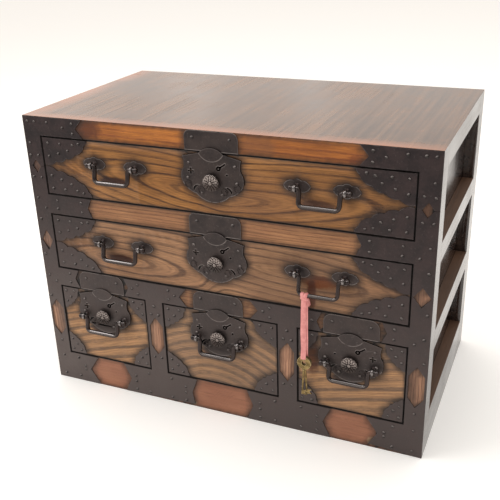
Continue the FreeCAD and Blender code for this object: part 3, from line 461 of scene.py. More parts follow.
def note_wear_and_highlight(piece: Piece, below: float) -> None:
    """Writes "worn" after an edge rounding, whose faces have the second material.

    Args:
        piece: The piece, which loses its materials.
        below: What rounded edges get that don't face up. Those that do get one, a painted highlight
            from above; open faces nought.
    """
    mesh = piece.data
    rounded = {v for face in mesh.polygons if face.material_index == 1 for v in face.vertices}
    worn = mesh.attributes.get("worn") or mesh.attributes.new("worn", "FLOAT", "CORNER")
    for face in mesh.polygons:
        round_face = face.material_index == 1
        open_face = all(v in rounded for v in face.vertices)
        # painted highlight: rounded edges that face up get the full value, as if lit from above
        share = 1.0 if face.normal.z > 0.1 else below
        for loop in face.loop_indices:
            at_edge = mesh.loops[loop].vertex_index in rounded
            worn.data[loop].value = share if round_face or (at_edge and not open_face) else 0.0
        face.material_index = 0
    mesh.materials.clear()


def rubbed(piece: Piece, bright: Callable[[bpy.types.MeshPolygon], float]) -> None:
    """Writes "worn" face by face: wear, and painted highlights where the caller marks them.

    Args:
        piece: The piece, which has no such attribute yet.
        bright: Takes a face, and gives its value: how rubbed it is, with any painted highlight.
    """
    worn = piece.data.attributes.new("worn", "FLOAT", "CORNER")
    for face in piece.data.polygons:
        for loop in face.loop_indices:
            worn.data[loop].value = bright(face)


def rimmed(piece: Piece, wide: float, deep: float, thickest: float = 1.5) -> None:
    """Sinks the front of a plate inside a narrow rim, before its edges are eased.

    Args:
        piece: The plate, facing the front.
        wide: The rim's width.
        deep: How far the field lies behind the rim.
        thickest: How far behind the foremost face the plate's own face may lie.
    """
    front = corners_of(piece)[0].y + thickest * MM
    with editing(piece):
        pick_faces(piece, lambda centre, normal: normal.y < -0.99 and centre.y < front)
        bpy.ops.mesh.inset(thickness=wide * MM, depth=-deep * MM)


def strung(mesh: bpy.types.Mesh, edges: Iterable[Sequence[int]], run: float = 2.0) -> KDTree:
    """Points along edges, seen from the front, ready to be searched.

    Args:
        mesh: The mesh that the edges belong to.
        edges: Pairs of vertex numbers.
        run: The distance between two points.

    Returns:
        The search tree.
    """
    points = []
    for a, b in edges:
        start, end = mesh.vertices[a].co, mesh.vertices[b].co
        count = max(1, int((end - start).length / (run * MM)))
        points += [start.lerp(end, n / count) for n in range(count)]
    tree = KDTree(len(points))
    for n, point in enumerate(points):
        tree.insert((point.x, 0.0, point.z), n)
    tree.balance()
    return tree


def border(piece: Piece) -> list[tuple[int, int]]:
    """Finds the outline of a piece's front.

    Args:
        piece: The piece, facing the front.

    Returns:
        The edges that only one front face has.
    """
    counts: dict[tuple[int, int], int] = {}
    for face in piece.data.polygons:
        if face.normal.y < FRONTAL:
            for key in face.edge_keys:
                counts[key] = counts.get(key, 0) + 1
    return [key for key, count in counts.items() if count == 1]


# ------------------------------------------------------------------ shader tree


@dataclass
class Tree:
    """Puts nodes into a node tree and joins them."""

    tree: bpy.types.NodeTree

    def put(self, kind: str, inputs: dict | None = None, **settings: object) -> Node:
        """Adds a node.

        Args:
            kind: The node's type name.
            inputs: Values or sockets by input name or number.
            settings: Properties of the node.

        Returns:
            The node.
        """
        node = self.tree.nodes.new(kind)
        for word, value in settings.items():
            setattr(node, word, value)
        for word, value in (inputs or {}).items():
            self.feed(node.inputs[word], value)
        return node

    def feed(self, socket: Socket, value: object) -> None:
        """Joins a socket to another, or gives it a value.

        Args:
            socket: An input.
            value: An output, a number, a vector or a colour.
        """
        if isinstance(value, bpy.types.NodeSocket):
            self.tree.links.new(value, socket)
        elif socket.type == "RGBA":
            socket.default_value = (*value, 1.0)
        else:
            socket.default_value = value

    def math(self, operation: str, *terms: object, clamp: bool = False) -> Socket:
        """A Math node's result."""
        inputs = dict(enumerate(terms))
        return self.put("ShaderNodeMath", inputs, operation=operation, use_clamp=clamp).outputs[0]

    def times(self, first: object, second: object) -> Socket:
        """One value times another."""
        return self.math("MULTIPLY", first, second)

    def plus(self, first: object, second: object) -> Socket:
        """Two values added."""
        return self.math("ADD", first, second)

    def minus(self, first: object, second: object) -> Socket:
        """One value less another."""
        return self.math("SUBTRACT", first, second)

    def vector(self, operation: str, *terms: object) -> Socket:
        """A Vector Math node's result."""
        node = self.put("ShaderNodeVectorMath", dict(enumerate(terms)), operation=operation)
        return node.outputs["Value" if operation == "LENGTH" else "Vector"]

    def parts(self, place: Socket) -> bpy.types.NodeOutputs:
        """The X, Y and Z of a place."""
        return self.put("ShaderNodeSeparateXYZ", {0: place}).outputs

    def span(
        self, value: Socket, start: float, end: float, low: float = 0.0, high: float = 1.0
    ) -> Socket:
        """Maps a value smoothly from one span to another, and holds it there.

        Args:
            value: What is mapped.
            start: The value that gives low.
            end: The value that gives high.
            low: The result up to the start.
            high: The result from the end on.

        Returns:
            The mapped value.
        """
        inputs = {"Value": value, "From Min": start, "From Max": end, "To Min": low, "To Max": high}
        node = self.put("ShaderNodeMapRange", inputs, interpolation_type="SMOOTHSTEP")
        return node.outputs["Result"]

    def blend(self, share: object, first: object, second: object, kind: str = "MIX") -> Socket:
        """Mixes two colours.

        Args:
            share: How much of the second there is.
            first: A colour.
            second: Another.
            kind: How they are mixed.

        Returns:
            The mixed colour.
        """
        node = self.put("ShaderNodeMix", data_type="RGBA", blend_type=kind)
        for number, value in ((0, share), (6, first), (7, second)):
            self.feed(node.inputs[number], value)
        return node.outputs[2]

    def shaded(self, colour: Socket, grey: Socket) -> Socket:
        """A colour times a grey."""
        tone = self.put("ShaderNodeCombineColor", {0: grey, 1: grey, 2: grey}).outputs[0]
        return self.blend(1.0, colour, tone, "MULTIPLY")

    def attribute(self, name: str) -> Socket:
        """What the mesh notes under a name."""
        node = self.put("ShaderNodeAttribute", attribute_name=name, attribute_type="GEOMETRY")
        return node.outputs["Fac"]

    def mapped(self, place: Socket, kind: str = "POINT", **parts: Sequence[float]) -> Socket:
        """A Mapping node's result."""
        inputs = {"Vector": place} | {word.capitalize(): value for word, value in parts.items()}
        return self.put("ShaderNodeMapping", inputs, vector_type=kind).outputs[0]

    def centred(
        self, place: Socket, across: float, up: float, wide: float, tall: float, turn: float = 0.0
    ) -> Socket:
        """A place measured from the middle of an oval in the front, and one long at its edge.

        Args:
            place: The place.
            across: Where the oval's middle is, to the right.
            up: Where it is, upwards.
            wide: The oval's half width.
            tall: Its half height.
            turn: How far it is turned, in degrees.

        Returns:
            The measured place.
        """
        return self.mapped(
            place,
            "TEXTURE",
            location=(across * MM, 0.0, up * MM),
            rotation=(0.0, -math.radians(turn), 0.0),
            scale=(wide * MM, 4.0, tall * MM),
        )

    def noise(
        self,
        place: Socket,
        scale: object,
        detail: float = 2.0,
        rough: float = 0.5,
        output: int | str = 0,
    ) -> Socket:
        """A Noise Texture node's result."""
        inputs = {"Vector": place, "Scale": scale, "Detail": detail, "Roughness": rough}
        return self.put("ShaderNodeTexNoise", inputs).outputs[output]

    def drift(self, place: Socket, scale: Sequence[float], reach: Sequence[float]) -> Socket:
        """A wandering shift, up to half the reach to each side."""
        wander = self.noise(self.mapped(place, scale=scale), 1.0, output="Color")
        return self.vector("MULTIPLY", self.vector("SUBTRACT", wander, (0.5, 0.5, 0.5)), reach)

    def group(self, tree: bpy.types.NodeTree, inputs: dict) -> bpy.types.NodeOutputs:
        """Places a node group with values or sockets by input name, and gives its outputs."""
        return self.put("ShaderNodeGroup", inputs, node_tree=tree).outputs


@dataclass
class Group(Tree):
    """A shader node group that is being built."""

    given: dict[str, Socket]

    @classmethod
    def started(cls, name: str, **inputs: object) -> Group:
        """Starts a group.

        Args:
            name: The group's name.
            inputs: A number's default by name, or None for a place.

        Returns:
            The group, with its input sockets by name.
        """
        tree = bpy.data.node_groups.new(name, "ShaderNodeTree")
        for word, value in inputs.items():
            kind = "NodeSocketVector" if value is None else "NodeSocketFloat"
            socket = tree.interface.new_socket(word, in_out="INPUT", socket_type=kind)
            if value is not None:
                socket.default_value = value
        entry = tree.nodes.new("NodeGroupInput")
        return cls(tree, {socket.name: socket for socket in entry.outputs if socket.name})

    def ended(self, **results: Socket) -> bpy.types.NodeTree:
        """Gives out the results.

        Args:
            results: What comes out, by name.

        Returns:
            The finished group.
        """
        for word in results:
            self.tree.interface.new_socket(word, in_out="OUTPUT", socket_type="NodeSocketFloat")
        self.put("NodeGroupOutput", results)
        return self.tree


class Effects:
    """The shared effects: growth rings, edge wear with painted highlights, mottling, spots, and
    painted shade at the gaps. Each is built once.
    """

    def __init__(self) -> None:
        """Builds every group."""
        self.rings = self.growth_rings()
        self.wear = self.edge_wear_and_highlight()
        self.mottle = self.mottling()
        self.spot = self.soft_spot()
        self.gaps = self.drawer_gaps()

    @staticmethod
    def growth_rings() -> bpy.types.NodeTree:
        """Dark lines, fibres and pores from a count of rings and a place in the board.

        Returns:
            The group. Ring counts the rings, and Fibres is a place with the grain along x.
        """
        group = Group.started("Growth rings", Ring=0.0, Fibres=None, Uneven=0.6, Wide=1.0)
        ring, fibres = group.given["Ring"], group.given["Fibres"]
        late = 0.25  # where in a year's growth its darkest wood lies
        sway = group.put(
            "ShaderNodeTexNoise", {"W": ring, "Scale": 0.8, "Detail": 1.0}, noise_dimensions="1D"
        )
        count = group.plus(ring, group.times(sway.outputs[0], group.given["Uneven"]))
        part, year = group.math("FRACT", count), group.math("FLOOR", count)
        chance = group.put("ShaderNodeTexWhiteNoise", {"W": year}, noise_dimensions="1D")
        strong = group.span(chance.outputs["Value"], 0.0, 1.0, 0.62, 1.0)
        away = group.math("ABSOLUTE", group.minus(part, late))
        core = group.span(group.math("DIVIDE", away, group.given["Wide"]), 0.05, 0.2, 1.0, 0.0)
        tail = group.span(part, late, 0.95, 0.42, 0.0)
        tail = group.times(tail, group.span(part, 0.1, late))
        fine = group.math("FRACT", group.times(count, 3.7))
        fine = group.span(group.math("ABSOLUTE", group.minus(fine, 0.5)), 0.1, 0.4, 0.32, 0.0)
        line = group.math("MAXIMUM", group.times(group.math("MAXIMUM", core, tail), strong), fine)
        fibre = group.noise(group.mapped(fibres, scale=(30.0, 900.0, 900.0)), 1.0, 3.0, 0.6)
        broken = group.noise(group.mapped(fibres, scale=(45.0, 420.0, 420.0)), 1.0, 2.0, 0.6)
        line = group.times(line, group.span(broken, 0.3, 0.62, 0.68, 1.0))
        short = group.noise(group.mapped(fibres, scale=(170.0, 2600.0, 2600.0)), 1.0, 1.0)
        pores = group.times(group.span(short, 0.56, 0.68), group.span(line, 0.1, 0.6, 0.15, 1.0))
        height = group.minus(group.times(fibre, 0.35), group.times(pores, 0.8))
        height = group.minus(height, group.times(line, 0.25))
        return group.ended(Line=line, Fibre=fibre, Pores=pores, Height=height)

    @staticmethod
    def edge_wear_and_highlight() -> bpy.types.NodeTree:
        """Where an edge is rubbed bright, together with its painted highlights: the attribute
        "worn", broken up by a noise.

        Returns:
            The group. Amount is from 0, none, to 1, rubbed all along.
        """
        group = Group.started("Edge wear", Place=None, Amount=0.5, Scale=90.0)
        broken = group.noise(group.given["Place"], group.given["Scale"], 4.0, 0.6)
        level = group.plus(broken, group.minus(group.given["Amount"], 0.5))
        return group.ended(Mask=group.times(group.span(level, 0.42, 0.6), group.attribute("worn")))

    @staticmethod
    def mottling() -> bpy.types.NodeTree:
        """Clouds and specks for colour, gloss and bump.

        Returns:
            The group, with the clouds' size set by Scale.
        """
        group = Group.started("Mottling", Place=None, Scale=40.0)
        place, scale = group.given["Place"], group.given["Scale"]
        clouds = group.noise(place, scale, 4.0, 0.62)
        fine = group.noise(place, group.times(scale, 9.0))
        return group.ended(
            Clouds=group.span(clouds, 0.32, 0.68),
            Specks=group.span(fine, 0.62, 0.72),
            Height=group.plus(clouds, group.times(fine, 0.35)),
        )

    @staticmethod
    def soft_spot() -> bpy.types.NodeTree:
        """A soft-edged ragged spot round a place.

        Returns:
            The group. Spot is nought in the spot's middle and one long at its edge.
        """
        group = Group.started("Soft spot", Spot=None, Place=None, Ragged=0.4)
        ragged = group.noise(group.given["Place"], 120.0, 3.0)
        shift = group.times(group.minus(ragged, 0.5), group.given["Ragged"])
        reach = group.plus(group.vector("LENGTH", group.given["Spot"]), group.times(shift, 2.0))
        return group.ended(Mask=group.span(reach, 0.6, 1.15, 1.0, 0.0))

    @staticmethod
    def drawer_gaps() -> bpy.types.NodeTree:
        """Painted shade on both sides of the gap round each drawer front.

        Returns:
            The group. Wide is how far the painted shade reaches from the middle of the gap.
        """
        group = Group.started("Drawer gaps", Place=None, Wide=1.4 * MM)
        half_gap = Vector((0.6, 0.6, 0.6)) * MM
        nearest = None
        for name in DRAWERS:
            low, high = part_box(f"{name}_drawer_front")
            off = group.vector("SUBTRACT", group.given["Place"], tuple((low + high) / 2))
            half = tuple((high - low) / 2 + half_gap)
            parts = group.parts(group.vector("SUBTRACT", group.vector("ABSOLUTE", off), half))
            edge = group.math("ABSOLUTE", group.math("MAXIMUM", parts["X"], parts["Z"]))
            nearest = group.math("MINIMUM", nearest, edge) if nearest else edge
        share = group.math("DIVIDE", nearest, group.given["Wide"])
        return group.ended(Mask=group.span(share, 0.7, 1.25, 1.0, 0.0))


# ------------------------------------------------------------------ finishes


@dataclass
class Coat(Tree):
    """A material that is being made, with its shader, the place on the piece and the effects."""

    shader: Node
    place: Socket
    effects: Effects

    def mottle(self, scale: float, place: Socket | None = None) -> bpy.types.NodeOutputs:
        """The mottling's Clouds, Specks and Height at a scale."""
        given = {"Place": self.place if place is None else place, "Scale": scale}
        return self.group(self.effects.mottle, given)

    def worn(self, amount: float, scale: float) -> Socket:
        """Where edges are rubbed, and where painted highlights lie."""
        given = {"Place": self.place, "Amount": amount, "Scale": scale}
        return self.group(self.effects.wear, given)[0]

    def crevice_shade(self, wide: float = 1.4) -> Socket:
        """Where painted shade lies beside the drawers' gaps."""
        return self.group(self.effects.gaps, {"Place": self.place, "Wide": wide * MM})[0]

    def cover(self, colour: Socket, rough: Socket, **plain: float) -> None:
        """Joins the colour and the roughness to the shader.

        Args:
            colour: The colour.
            rough: The roughness.
            plain: What is the same all over, by its socket's name with lines for spaces.
        """
        self.feed(self.shader.inputs["Base Color"], colour)
        self.feed(self.shader.inputs["Roughness"], rough)
        for word, value in plain.items():
            self.shader.inputs[word.replace("_", " ")].default_value = value

    def relief(self, height: Socket, deep: float, strength: float) -> None:
        """Gives the shader relief, from a height and how deep a height of one is in millimetres."""
        inputs = {"Strength": strength, "Distance": deep * MM, "Height": height}
        self.feed(self.shader.inputs["Normal"], self.put("ShaderNodeBump", inputs).outputs[0])


@dataclass
class Palette:
    """Builds each finish once and hands out its material."""

    effects: Effects
    made: dict[str, bpy.types.Material] = field(default_factory=dict)

    def of(self, finish: Finish) -> bpy.types.Material:
        """The material of a finish.

        Args:
            finish: Any of the finishes below.

        Returns:
            Its material, built the first time it is asked for.
        """
        if finish.name not in self.made:
            material = bpy.data.materials.new(finish.name)
            material.use_nodes = True
            shader = material.node_tree.nodes["Principled BSDF"]
            place = material.node_tree.nodes.new("ShaderNodeTexCoord").outputs["Object"]
            finish.dress(Coat(material.node_tree, shader, place, self.effects))
            self.made[finish.name] = material
        return self.made[finish.name]


@dataclass(frozen=True)
class Pith:
    """A heart that growth rings run round, and how far apart they are, in millimetres."""

    across: float
    up: float
    long: float
    tall: float
    turn: float = 0.0
    start: float = 0.0
    merge: float = 25.0


@dataclass(frozen=True)
class Spot:
    """A stain, a chip or a painted shadow on a board, in millimetres."""

    across: float
    up: float
    wide: float
    tall: float
    colour: Colour
    strength: float = 0.8
    ragged: float = 0.4


@dataclass(frozen=True)
class BoldWood:
    """Wiped lacquer over bold grain, darker beside the iron from dirt, with painted shade along its
    edges and the drawers' gaps.
    """

    name: str
    piths: tuple[Pith, ...]
    pale: Colour
    ripe: Colour
    dark: Colour
    # smoke: the colour of the dirt by the iron and of the painted shade by the board's edges
    smoke: Colour = (0.03, 0.017, 0.012)
    # crevice_shade: the near-black painted shade at the gaps and along the edges of the iron and
    # the board
    crevice_shade: Colour = (0.006, 0.004, 0.004)
    # edge: painted shade, the near-black colour of the rounded front edges, so the gaps read as
    # dark lines
    edge: Colour = (0.008, 0.005, 0.004)
    wander: float = 5.0
    contrast: float = 0.85
    grain: Grain = Grain.ALONG
    spots: tuple[Spot, ...] = ()
    rough: float = 0.36
    slope: float = 0.0
    wide: float = 1.0

    def rings(self, coat: Coat, grown: Socket) -> Socket:
        """Counts the rings. Each heart's take over from the last one's to the right of its start.

        Args:
            coat: The material being made.
            grown: A place in the board, with the bends of its growth.

        Returns:
            The count.
        """
        counts = []
        for pith in self.piths:
            at = coat.centred(grown, pith.across, pith.up, pith.long, pith.tall, pith.turn)
            counts.append(coat.vector("LENGTH", at))
        ring = counts[0]
        across = coat.parts(grown)["X"]
        for pith, other in zip(self.piths[1:], counts[1:]):
            start, end = (pith.start - pith.merge) * MM, (pith.start + pith.merge) * MM
            share = coat.span(across, start, end)
            ring = coat.plus(ring, coat.times(coat.minus(other, ring), share))
        return ring

    def stained(self, coat: Coat, colour: Socket) -> Socket:
        """Lays the spots, the dirt beside the iron and the painted shade at the board's edges, the
        iron's edges and the gaps over a colour.

        Args:
            coat: The material being made.
            colour: The wood's own colour.

        Returns:
            The colour with its stains and painted shade.
        """
        for spot in self.spots:
            at = coat.centred(coat.place, spot.across, spot.up, spot.wide, spot.tall)
            given = {"Spot": at, "Place": coat.place, "Ragged": spot.ragged}
            mask = coat.group(coat.effects.spot, given)[0]
            colour = coat.blend(coat.times(mask, spot.strength), colour, spot.colour)
        # dirt near the iron, with painted shade near the board's own edges, as the mesh notes it
        near = coat.attribute("smoke")
        ragged = coat.span(coat.noise(coat.place, 90.0, 3.0), 0.25, 0.7, 0.82, 1.0)
        hidden = coat.span(near, 0.88, 0.95)
        colour = coat.blend(coat.math("MULTIPLY", near, ragged, clamp=True), colour, self.smoke)
        # painted shade: near black at the gaps and along the edges of the iron and the board
        colour = coat.blend(coat.math("MAXIMUM", hidden, coat.crevice_shade()), colour, self.crevice_shade)
        # painted shade: the rounded edges go nearly black
        return coat.blend(coat.times(coat.worn(0.9, 60.0), 0.88), colour, self.edge)

    def dress(self, coat: Coat) -> None:
        """Joins the grain, stains and smoke to the shader.

        Args:
            coat: The material being made.
        """
        lean, lift, swing = self.grain.turn
        turn = (lean, lift + math.radians(self.slope), swing)
        fibres = coat.mapped(coat.place, rotation=turn)
        wander = self.wander * MM
        bend = coat.drift(fibres, (5.0, 14.0, 14.0), (6 * wander, 0.0, 2.4 * wander))
        shake = coat.drift(fibres, (28.0, 110.0, 110.0), (6.0 * MM, 0.0, 2.2 * MM))
        grown = coat.vector("ADD", coat.place, coat.vector("ADD", bend, shake))
        given = {"Ring": self.rings(coat, grown), "Fibres": fibres, "Wide": self.wide}
        rings = coat.group(coat.effects.rings, given)
        clouds = coat.mottle(26.0, coat.mapped(fibres, scale=(0.35, 1.0, 1.0)))["Clouds"]
        colour = coat.blend(clouds, self.ripe, self.pale)
        colour = coat.blend(coat.times(rings["Line"], self.contrast), colour, self.dark)
        bold = min(1.0, 0.25 + self.contrast)
        fibre = coat.span(rings["Fibre"], 0.3, 0.7, 1 - 0.28 * bold, 1 + 0.17 * bold)
        colour = coat.shaded(colour, fibre)
        colour = coat.blend(coat.times(rings["Pores"], 0.65 * bold), colour, self.dark)
        rough = coat.plus(coat.times(rings["Line"], 0.1), self.rough)
        rough = coat.plus(rough, coat.times(clouds, 0.06))
        coat.cover(self.stained(coat, colour), rough, Specular_IOR_Level=0.3)
        coat.relief(rings["Height"], 0.35, 0.6)


@dataclass(frozen=True)
class PlainWood:
    """Bare wood with quiet straight grain, for what the lacquer doesn't reach."""

    name: str
    pale: Colour
    dark: Colour
    grain: Grain = Grain.DEEP
    spacing: float = 5.0
    rough: float = 0.62

    def dress(self, coat: Coat) -> None:
        """Joins the grain to the shader.

        Args:
            coat: The material being made.
        """
        fibres = coat.mapped(coat.place, rotation=self.grain.turn)
        sway = coat.drift(fibres, (2.0, 9.0, 9.0), (0.0, 0.03, 0.03))
        apart = self.spacing * MM
        grown = coat.vector("ADD", fibres, sway)
        at = coat.mapped(grown, "TEXTURE", location=(0.1, 0.9, -0.4), scale=(0.4, apart, apart))
        given = {"Ring": coat.vector("LENGTH", at), "Fibres": fibres, "Uneven": 1.4}
        rings = coat.group(coat.effects.rings, given)
        colour = coat.blend(coat.times(rings["Line"], 0.4), self.pale, self.dark)
        colour = coat.blend(coat.times(coat.mottle(14.0)["Clouds"], 0.3), colour, self.dark)
        colour = coat.shaded(colour, coat.span(rings["Fibre"], 0.3, 0.7, 0.86, 1.08))
        colour = coat.blend(coat.times(coat.worn(0.5, 60.0), 0.4), colour, self.dark)
        coat.cover(colour, coat.plus(coat.times(rings["Fibre"], 0.15), self.rough))
        coat.relief(rings["Height"], 0.3, 0.5)


@dataclass(frozen=True)
class Lacquer:
    """Dark glossy lacquer over brown wood, with brush marks and rubbed edges."""

    name: str
    deep: Colour
    warm: Colour
    rubbed: Colour
    gloss: float = 0.2
    streak: Grain = Grain.DEEP
    edge_rub: float = 0.0
    relief: float = 0.2
    shine: float = 0.5
    lines: float = 0.0
    front: float = -163.0
    left: float = -302.0

    def edges(self, coat: Coat) -> Socket:
        """Where the top is rubbed bare, along its front and its left.

        Args:
            coat: The material being made.

        Returns:
            How bare it is.
        """
        parts = coat.parts(coat.place)
        front_end = (self.front + self.edge_rub) * MM
        left_end = (self.left + 1.3 * self.edge_rub) * MM
        front = coat.span(parts["Y"], self.front * MM, front_end, 1.0, 0.0)
        left = coat.span(parts["X"], self.left * MM, left_end, 1.0, 0.0)
        broken = coat.noise(coat.mapped(coat.place, scale=(9.0, 14.0, 40.0)), 1.0, 1.0)
        patchy = coat.span(broken, 0.28, 0.55, 0.45, 1.0)
        return coat.times(coat.math("MAXIMUM", front, left), patchy)

    def lined(self, coat: Coat, colour: Socket, rub: Socket) -> Socket:
        """Draws the fine dark lines of the open grain, fainter where the lacquer is rubbed.

        Args:
            coat: The material being made.
            colour: The lacquer's colour.
            rub: How rubbed it is.

        Returns:
            The colour with its lines.
        """
        grain = coat.mapped(coat.place, rotation=(0.0, 0.0, 0.05), scale=(210.0, 7.0, 210.0))
        fine = coat.span(coat.noise(grain, 1.0, 1.0), 0.5, 0.68)
        where = coat.noise(coat.mapped(coat.place, scale=(7.0, 3.0, 7.0)), 1.0)
        share = coat.times(fine, coat.span(where, 0.35, 0.62, 0.25, 1.0))
        share = coat.times(share, coat.span(rub, 0.0, 0.8, self.lines, 0.12))
        return coat.blend(share, colour, self.deep)

    def dress(self, coat: Coat) -> None:
        """Joins the clouds, streaks and rubbing to the shader.

        Args:
            coat: The material being made.
        """
        patch = coat.mottle(7.0)
        brushed = coat.mapped(coat.place, scale=self.streak.drawn(4.0, 160.0))
        streak = coat.span(coat.noise(brushed, 1.0), 0.3, 0.75)
        share = coat.times(coat.plus(patch["Clouds"], streak), 0.5)
        colour = coat.blend(share, self.deep, self.warm)
        colour = coat.blend(coat.times(patch["Specks"], 0.12), colour, self.rubbed)
        rub = self.edges(coat) if self.edge_rub else coat.worn(0.5, 35.0)
        colour = coat.blend(coat.times(rub, 0.8), colour, self.rubbed)
        if self.lines:
            colour = self.lined(coat, colour, rub)
        rough = coat.plus(coat.times(patch["Clouds"], 0.1), self.gloss)
        rough = coat.plus(rough, coat.times(streak, 0.05))
        coat.cover(colour, rough, Specular_IOR_Level=self.shine)
        height = coat.plus(patch["Clouds"], coat.noise(brushed, 0.2, 1.0))
        coat.relief(height, 0.15, self.relief)


@dataclass(frozen=True)
class ForgedIron:
    """Dark waxed iron, uneven from the hammer, bright where it is rubbed and along painted
    highlights, lighter low down from dust and painted floor light, and black by the drawers' gaps
    as painted shade.
    """

    name: str
    black: Colour
    brown: Colour
    bright: Colour
    metallic: float = 0.75
    rough: float = 0.42
    wear: float = 0.5
    hammer: float = 0.35
    # dust_and_floor_light: how much lighter the iron gets low down and to the left, from dust and
    # painted light off the floor; dust is its colour
    dust_and_floor_light: float = 0.0
    dust: Colour = (0.13, 0.105, 0.098)
    # gap_shade_reach and crevice_shade: how far and how dark the painted shade beside the drawers'
    # gaps is
    gap_shade_reach: float = 0.0
    crevice_shade: Colour = (0.003, 0.002, 0.002)

    def dress(self, coat: Coat) -> None:
        """Joins the patina, the wear with its painted highlights, the dust with painted floor
        light, the painted gap shade and the hammer marks to the shader.

        Args:
            coat: The material being made.
        """
        patina = coat.mottle(45.0)
        colour = coat.blend(patina["Clouds"], self.black, self.brown)
        # dust and painted floor light: lighter towards the bottom and towards the left
        if self.dust_and_floor_light:
            parts = coat.parts(coat.place)
            low = coat.span(parts["Z"], 0.02, 0.42, self.dust_and_floor_light, 0.0)
            left = coat.span(parts["X"], -0.3, 0.3, 1.0, 0.55)
            colour = coat.blend(coat.times(low, left), colour, self.dust)
        # the wear mask holds painted highlights on edges that face up
        worn = coat.worn(self.wear, 110.0)
        shine = coat.math("MAXIMUM", worn, coat.times(patina["Specks"], 0.16))
        colour = coat.blend(shine, colour, self.bright)
        rough = coat.minus(self.rough, coat.times(shine, 0.14))
        rough = coat.plus(rough, coat.times(patina["Clouds"], 0.12))
        # painted shade: the iron beside the drawers' gaps goes black and dull
        if self.gap_shade_reach:
            crevice_shade = coat.crevice_shade(self.gap_shade_reach)
            colour = coat.blend(crevice_shade, colour, self.crevice_shade)
            rough = coat.plus(rough, coat.times(crevice_shade, 0.4))
        coat.cover(colour, rough, Metallic=self.metallic)
        blows = {"Vector": coat.place, "Scale": 210.0, "Smoothness": 0.7}
        marks = coat.put("ShaderNodeTexVoronoi", blows, feature="SMOOTH_F1").outputs["Distance"]
        coat.relief(coat.plus(patina["Height"], coat.times(marks, 0.8)), self.hammer, 0.7)


@dataclass(frozen=True)
class OldBrass:
    """Dull brass with olive tarnish."""

    name: str = "old_brass"
    tarnish: Colour = (0.12, 0.085, 0.036)
    clean: Colour = (0.33, 0.235, 0.1)
    bright: Colour = (0.62, 0.5, 0.27)

    def dress(self, coat: Coat) -> None:
        """Joins the tarnish and the rubbed edges to the shader.

        Args:
            coat: The material being made.
        """
        cloud = coat.mottle(130.0)
        colour = coat.blend(cloud["Clouds"], self.tarnish, self.clean)
        colour = coat.blend(coat.worn(0.65, 300.0), colour, self.bright)
        coat.cover(colour, coat.plus(coat.times(cloud["Clouds"], -0.15), 0.46), Metallic=0.9)
        coat.relief(cloud["Height"], 0.12, 0.5)


@dataclass(frozen=True)
class PaintedShade:
    """Painted shade: near black for what shows in a keyhole and in the gap behind a plate's edge,
    where next to no light falls.
    """

    name: str = "dark_inside"
    black: Colour = (0.004, 0.003, 0.003)
    brown: Colour = (0.012, 0.008, 0.007)

    def dress(self, coat: Coat) -> None:
        """Joins faint dust to the shader.

        Args:
            coat: The material being made.
        """
        dust = coat.mottle(200.0)
        rough = coat.plus(coat.times(dust["Specks"], 0.1), 0.85)
        colour = coat.blend(dust["Clouds"], self.black, self.brown)
        coat.cover(colour, rough, Specular_IOR_Level=0.1)
        coat.relief(dust["Height"], 0.1, 0.4)


@dataclass(frozen=True)
class Satin:
    """Satin ribbon, whose threads follow its length."""

    name: str = "satin_ribbon"
    lit: Colour = (0.9, 0.39, 0.36)
    shaded: Colour = (0.6, 0.17, 0.17)

    def dress(self, coat: Coat) -> None:
        """Joins the threads, creases and sheen to the shader.

        Args:
            coat: The material being made.
        """
        weave = coat.put("ShaderNodeUVMap", uv_map="weave").outputs[0]
        threads = coat.noise(coat.mapped(weave, scale=(26.0, 0.8, 1.0)), 1.0, 2.0, 0.6)
        weft = coat.put("ShaderNodeTexWave", {"Vector": weave, "Scale": 1.6}, bands_direction="Y")
        share = coat.times(coat.plus(threads, coat.mottle(90.0)["Clouds"]), 0.5)
        coat.cover(
            coat.blend(share, self.shaded, self.lit),
            coat.plus(coat.times(threads, 0.15), 0.34),
            Sheen_Weight=0.35,
            Sheen_Roughness=0.4,
        )
        coat.relief(coat.plus(threads, coat.times(weft.outputs["Fac"], 0.3)), 0.08, 0.6)


Finish = BoldWood | PlainWood | Lacquer | ForgedIron | OldBrass | PaintedShade | Satin

BARE = PlainWood("bare_boards", (0.30, 0.205, 0.125), (0.15, 0.09, 0.052), Grain.ALONG)
# Near black for the insides of the openings and the sides of the drawer fronts: dark lacquered
# edges with painted shade.
DARK_EDGES = PlainWood(
    "dark_edges", (0.02, 0.012, 0.009), (0.01, 0.006, 0.005), Grain.ALONG, rough=0.8
)
LEDGE = PlainWood("dusty_ledges", (0.13, 0.066, 0.036), (0.055, 0.026, 0.015), rough=0.45)
BOX_WOOD = PlainWood("drawer_boards", (0.50, 0.375, 0.235), (0.30, 0.2, 0.11), spacing=4.0)
TOP_LACQUER = Lacquer(
    "top_lacquer",
    deep=(0.06, 0.03, 0.019),
    warm=(0.22, 0.122, 0.074),
    rubbed=(0.39, 0.15, 0.075),
    gloss=0.16,
    edge_rub=34.0,
    relief=0.02,
    lines=0.65,
)
SIDE_LACQUER = Lacquer(
    "side_lacquer",
    deep=(0.022, 0.014, 0.012),
    warm=(0.05, 0.03, 0.023),
    rubbed=(0.2, 0.13, 0.09),
    gloss=0.12,
    relief=0.08,
    shine=0.85,
)
PANEL_LACQUER = Lacquer(
    "panel_lacquer",
    deep=(0.012, 0.007, 0.007),
    warm=(0.026, 0.015, 0.012),
    rubbed=(0.1, 0.06, 0.04),
    gloss=0.07,
    streak=Grain.UPRIGHT,
    relief=0.04,
    shine=0.85,
)
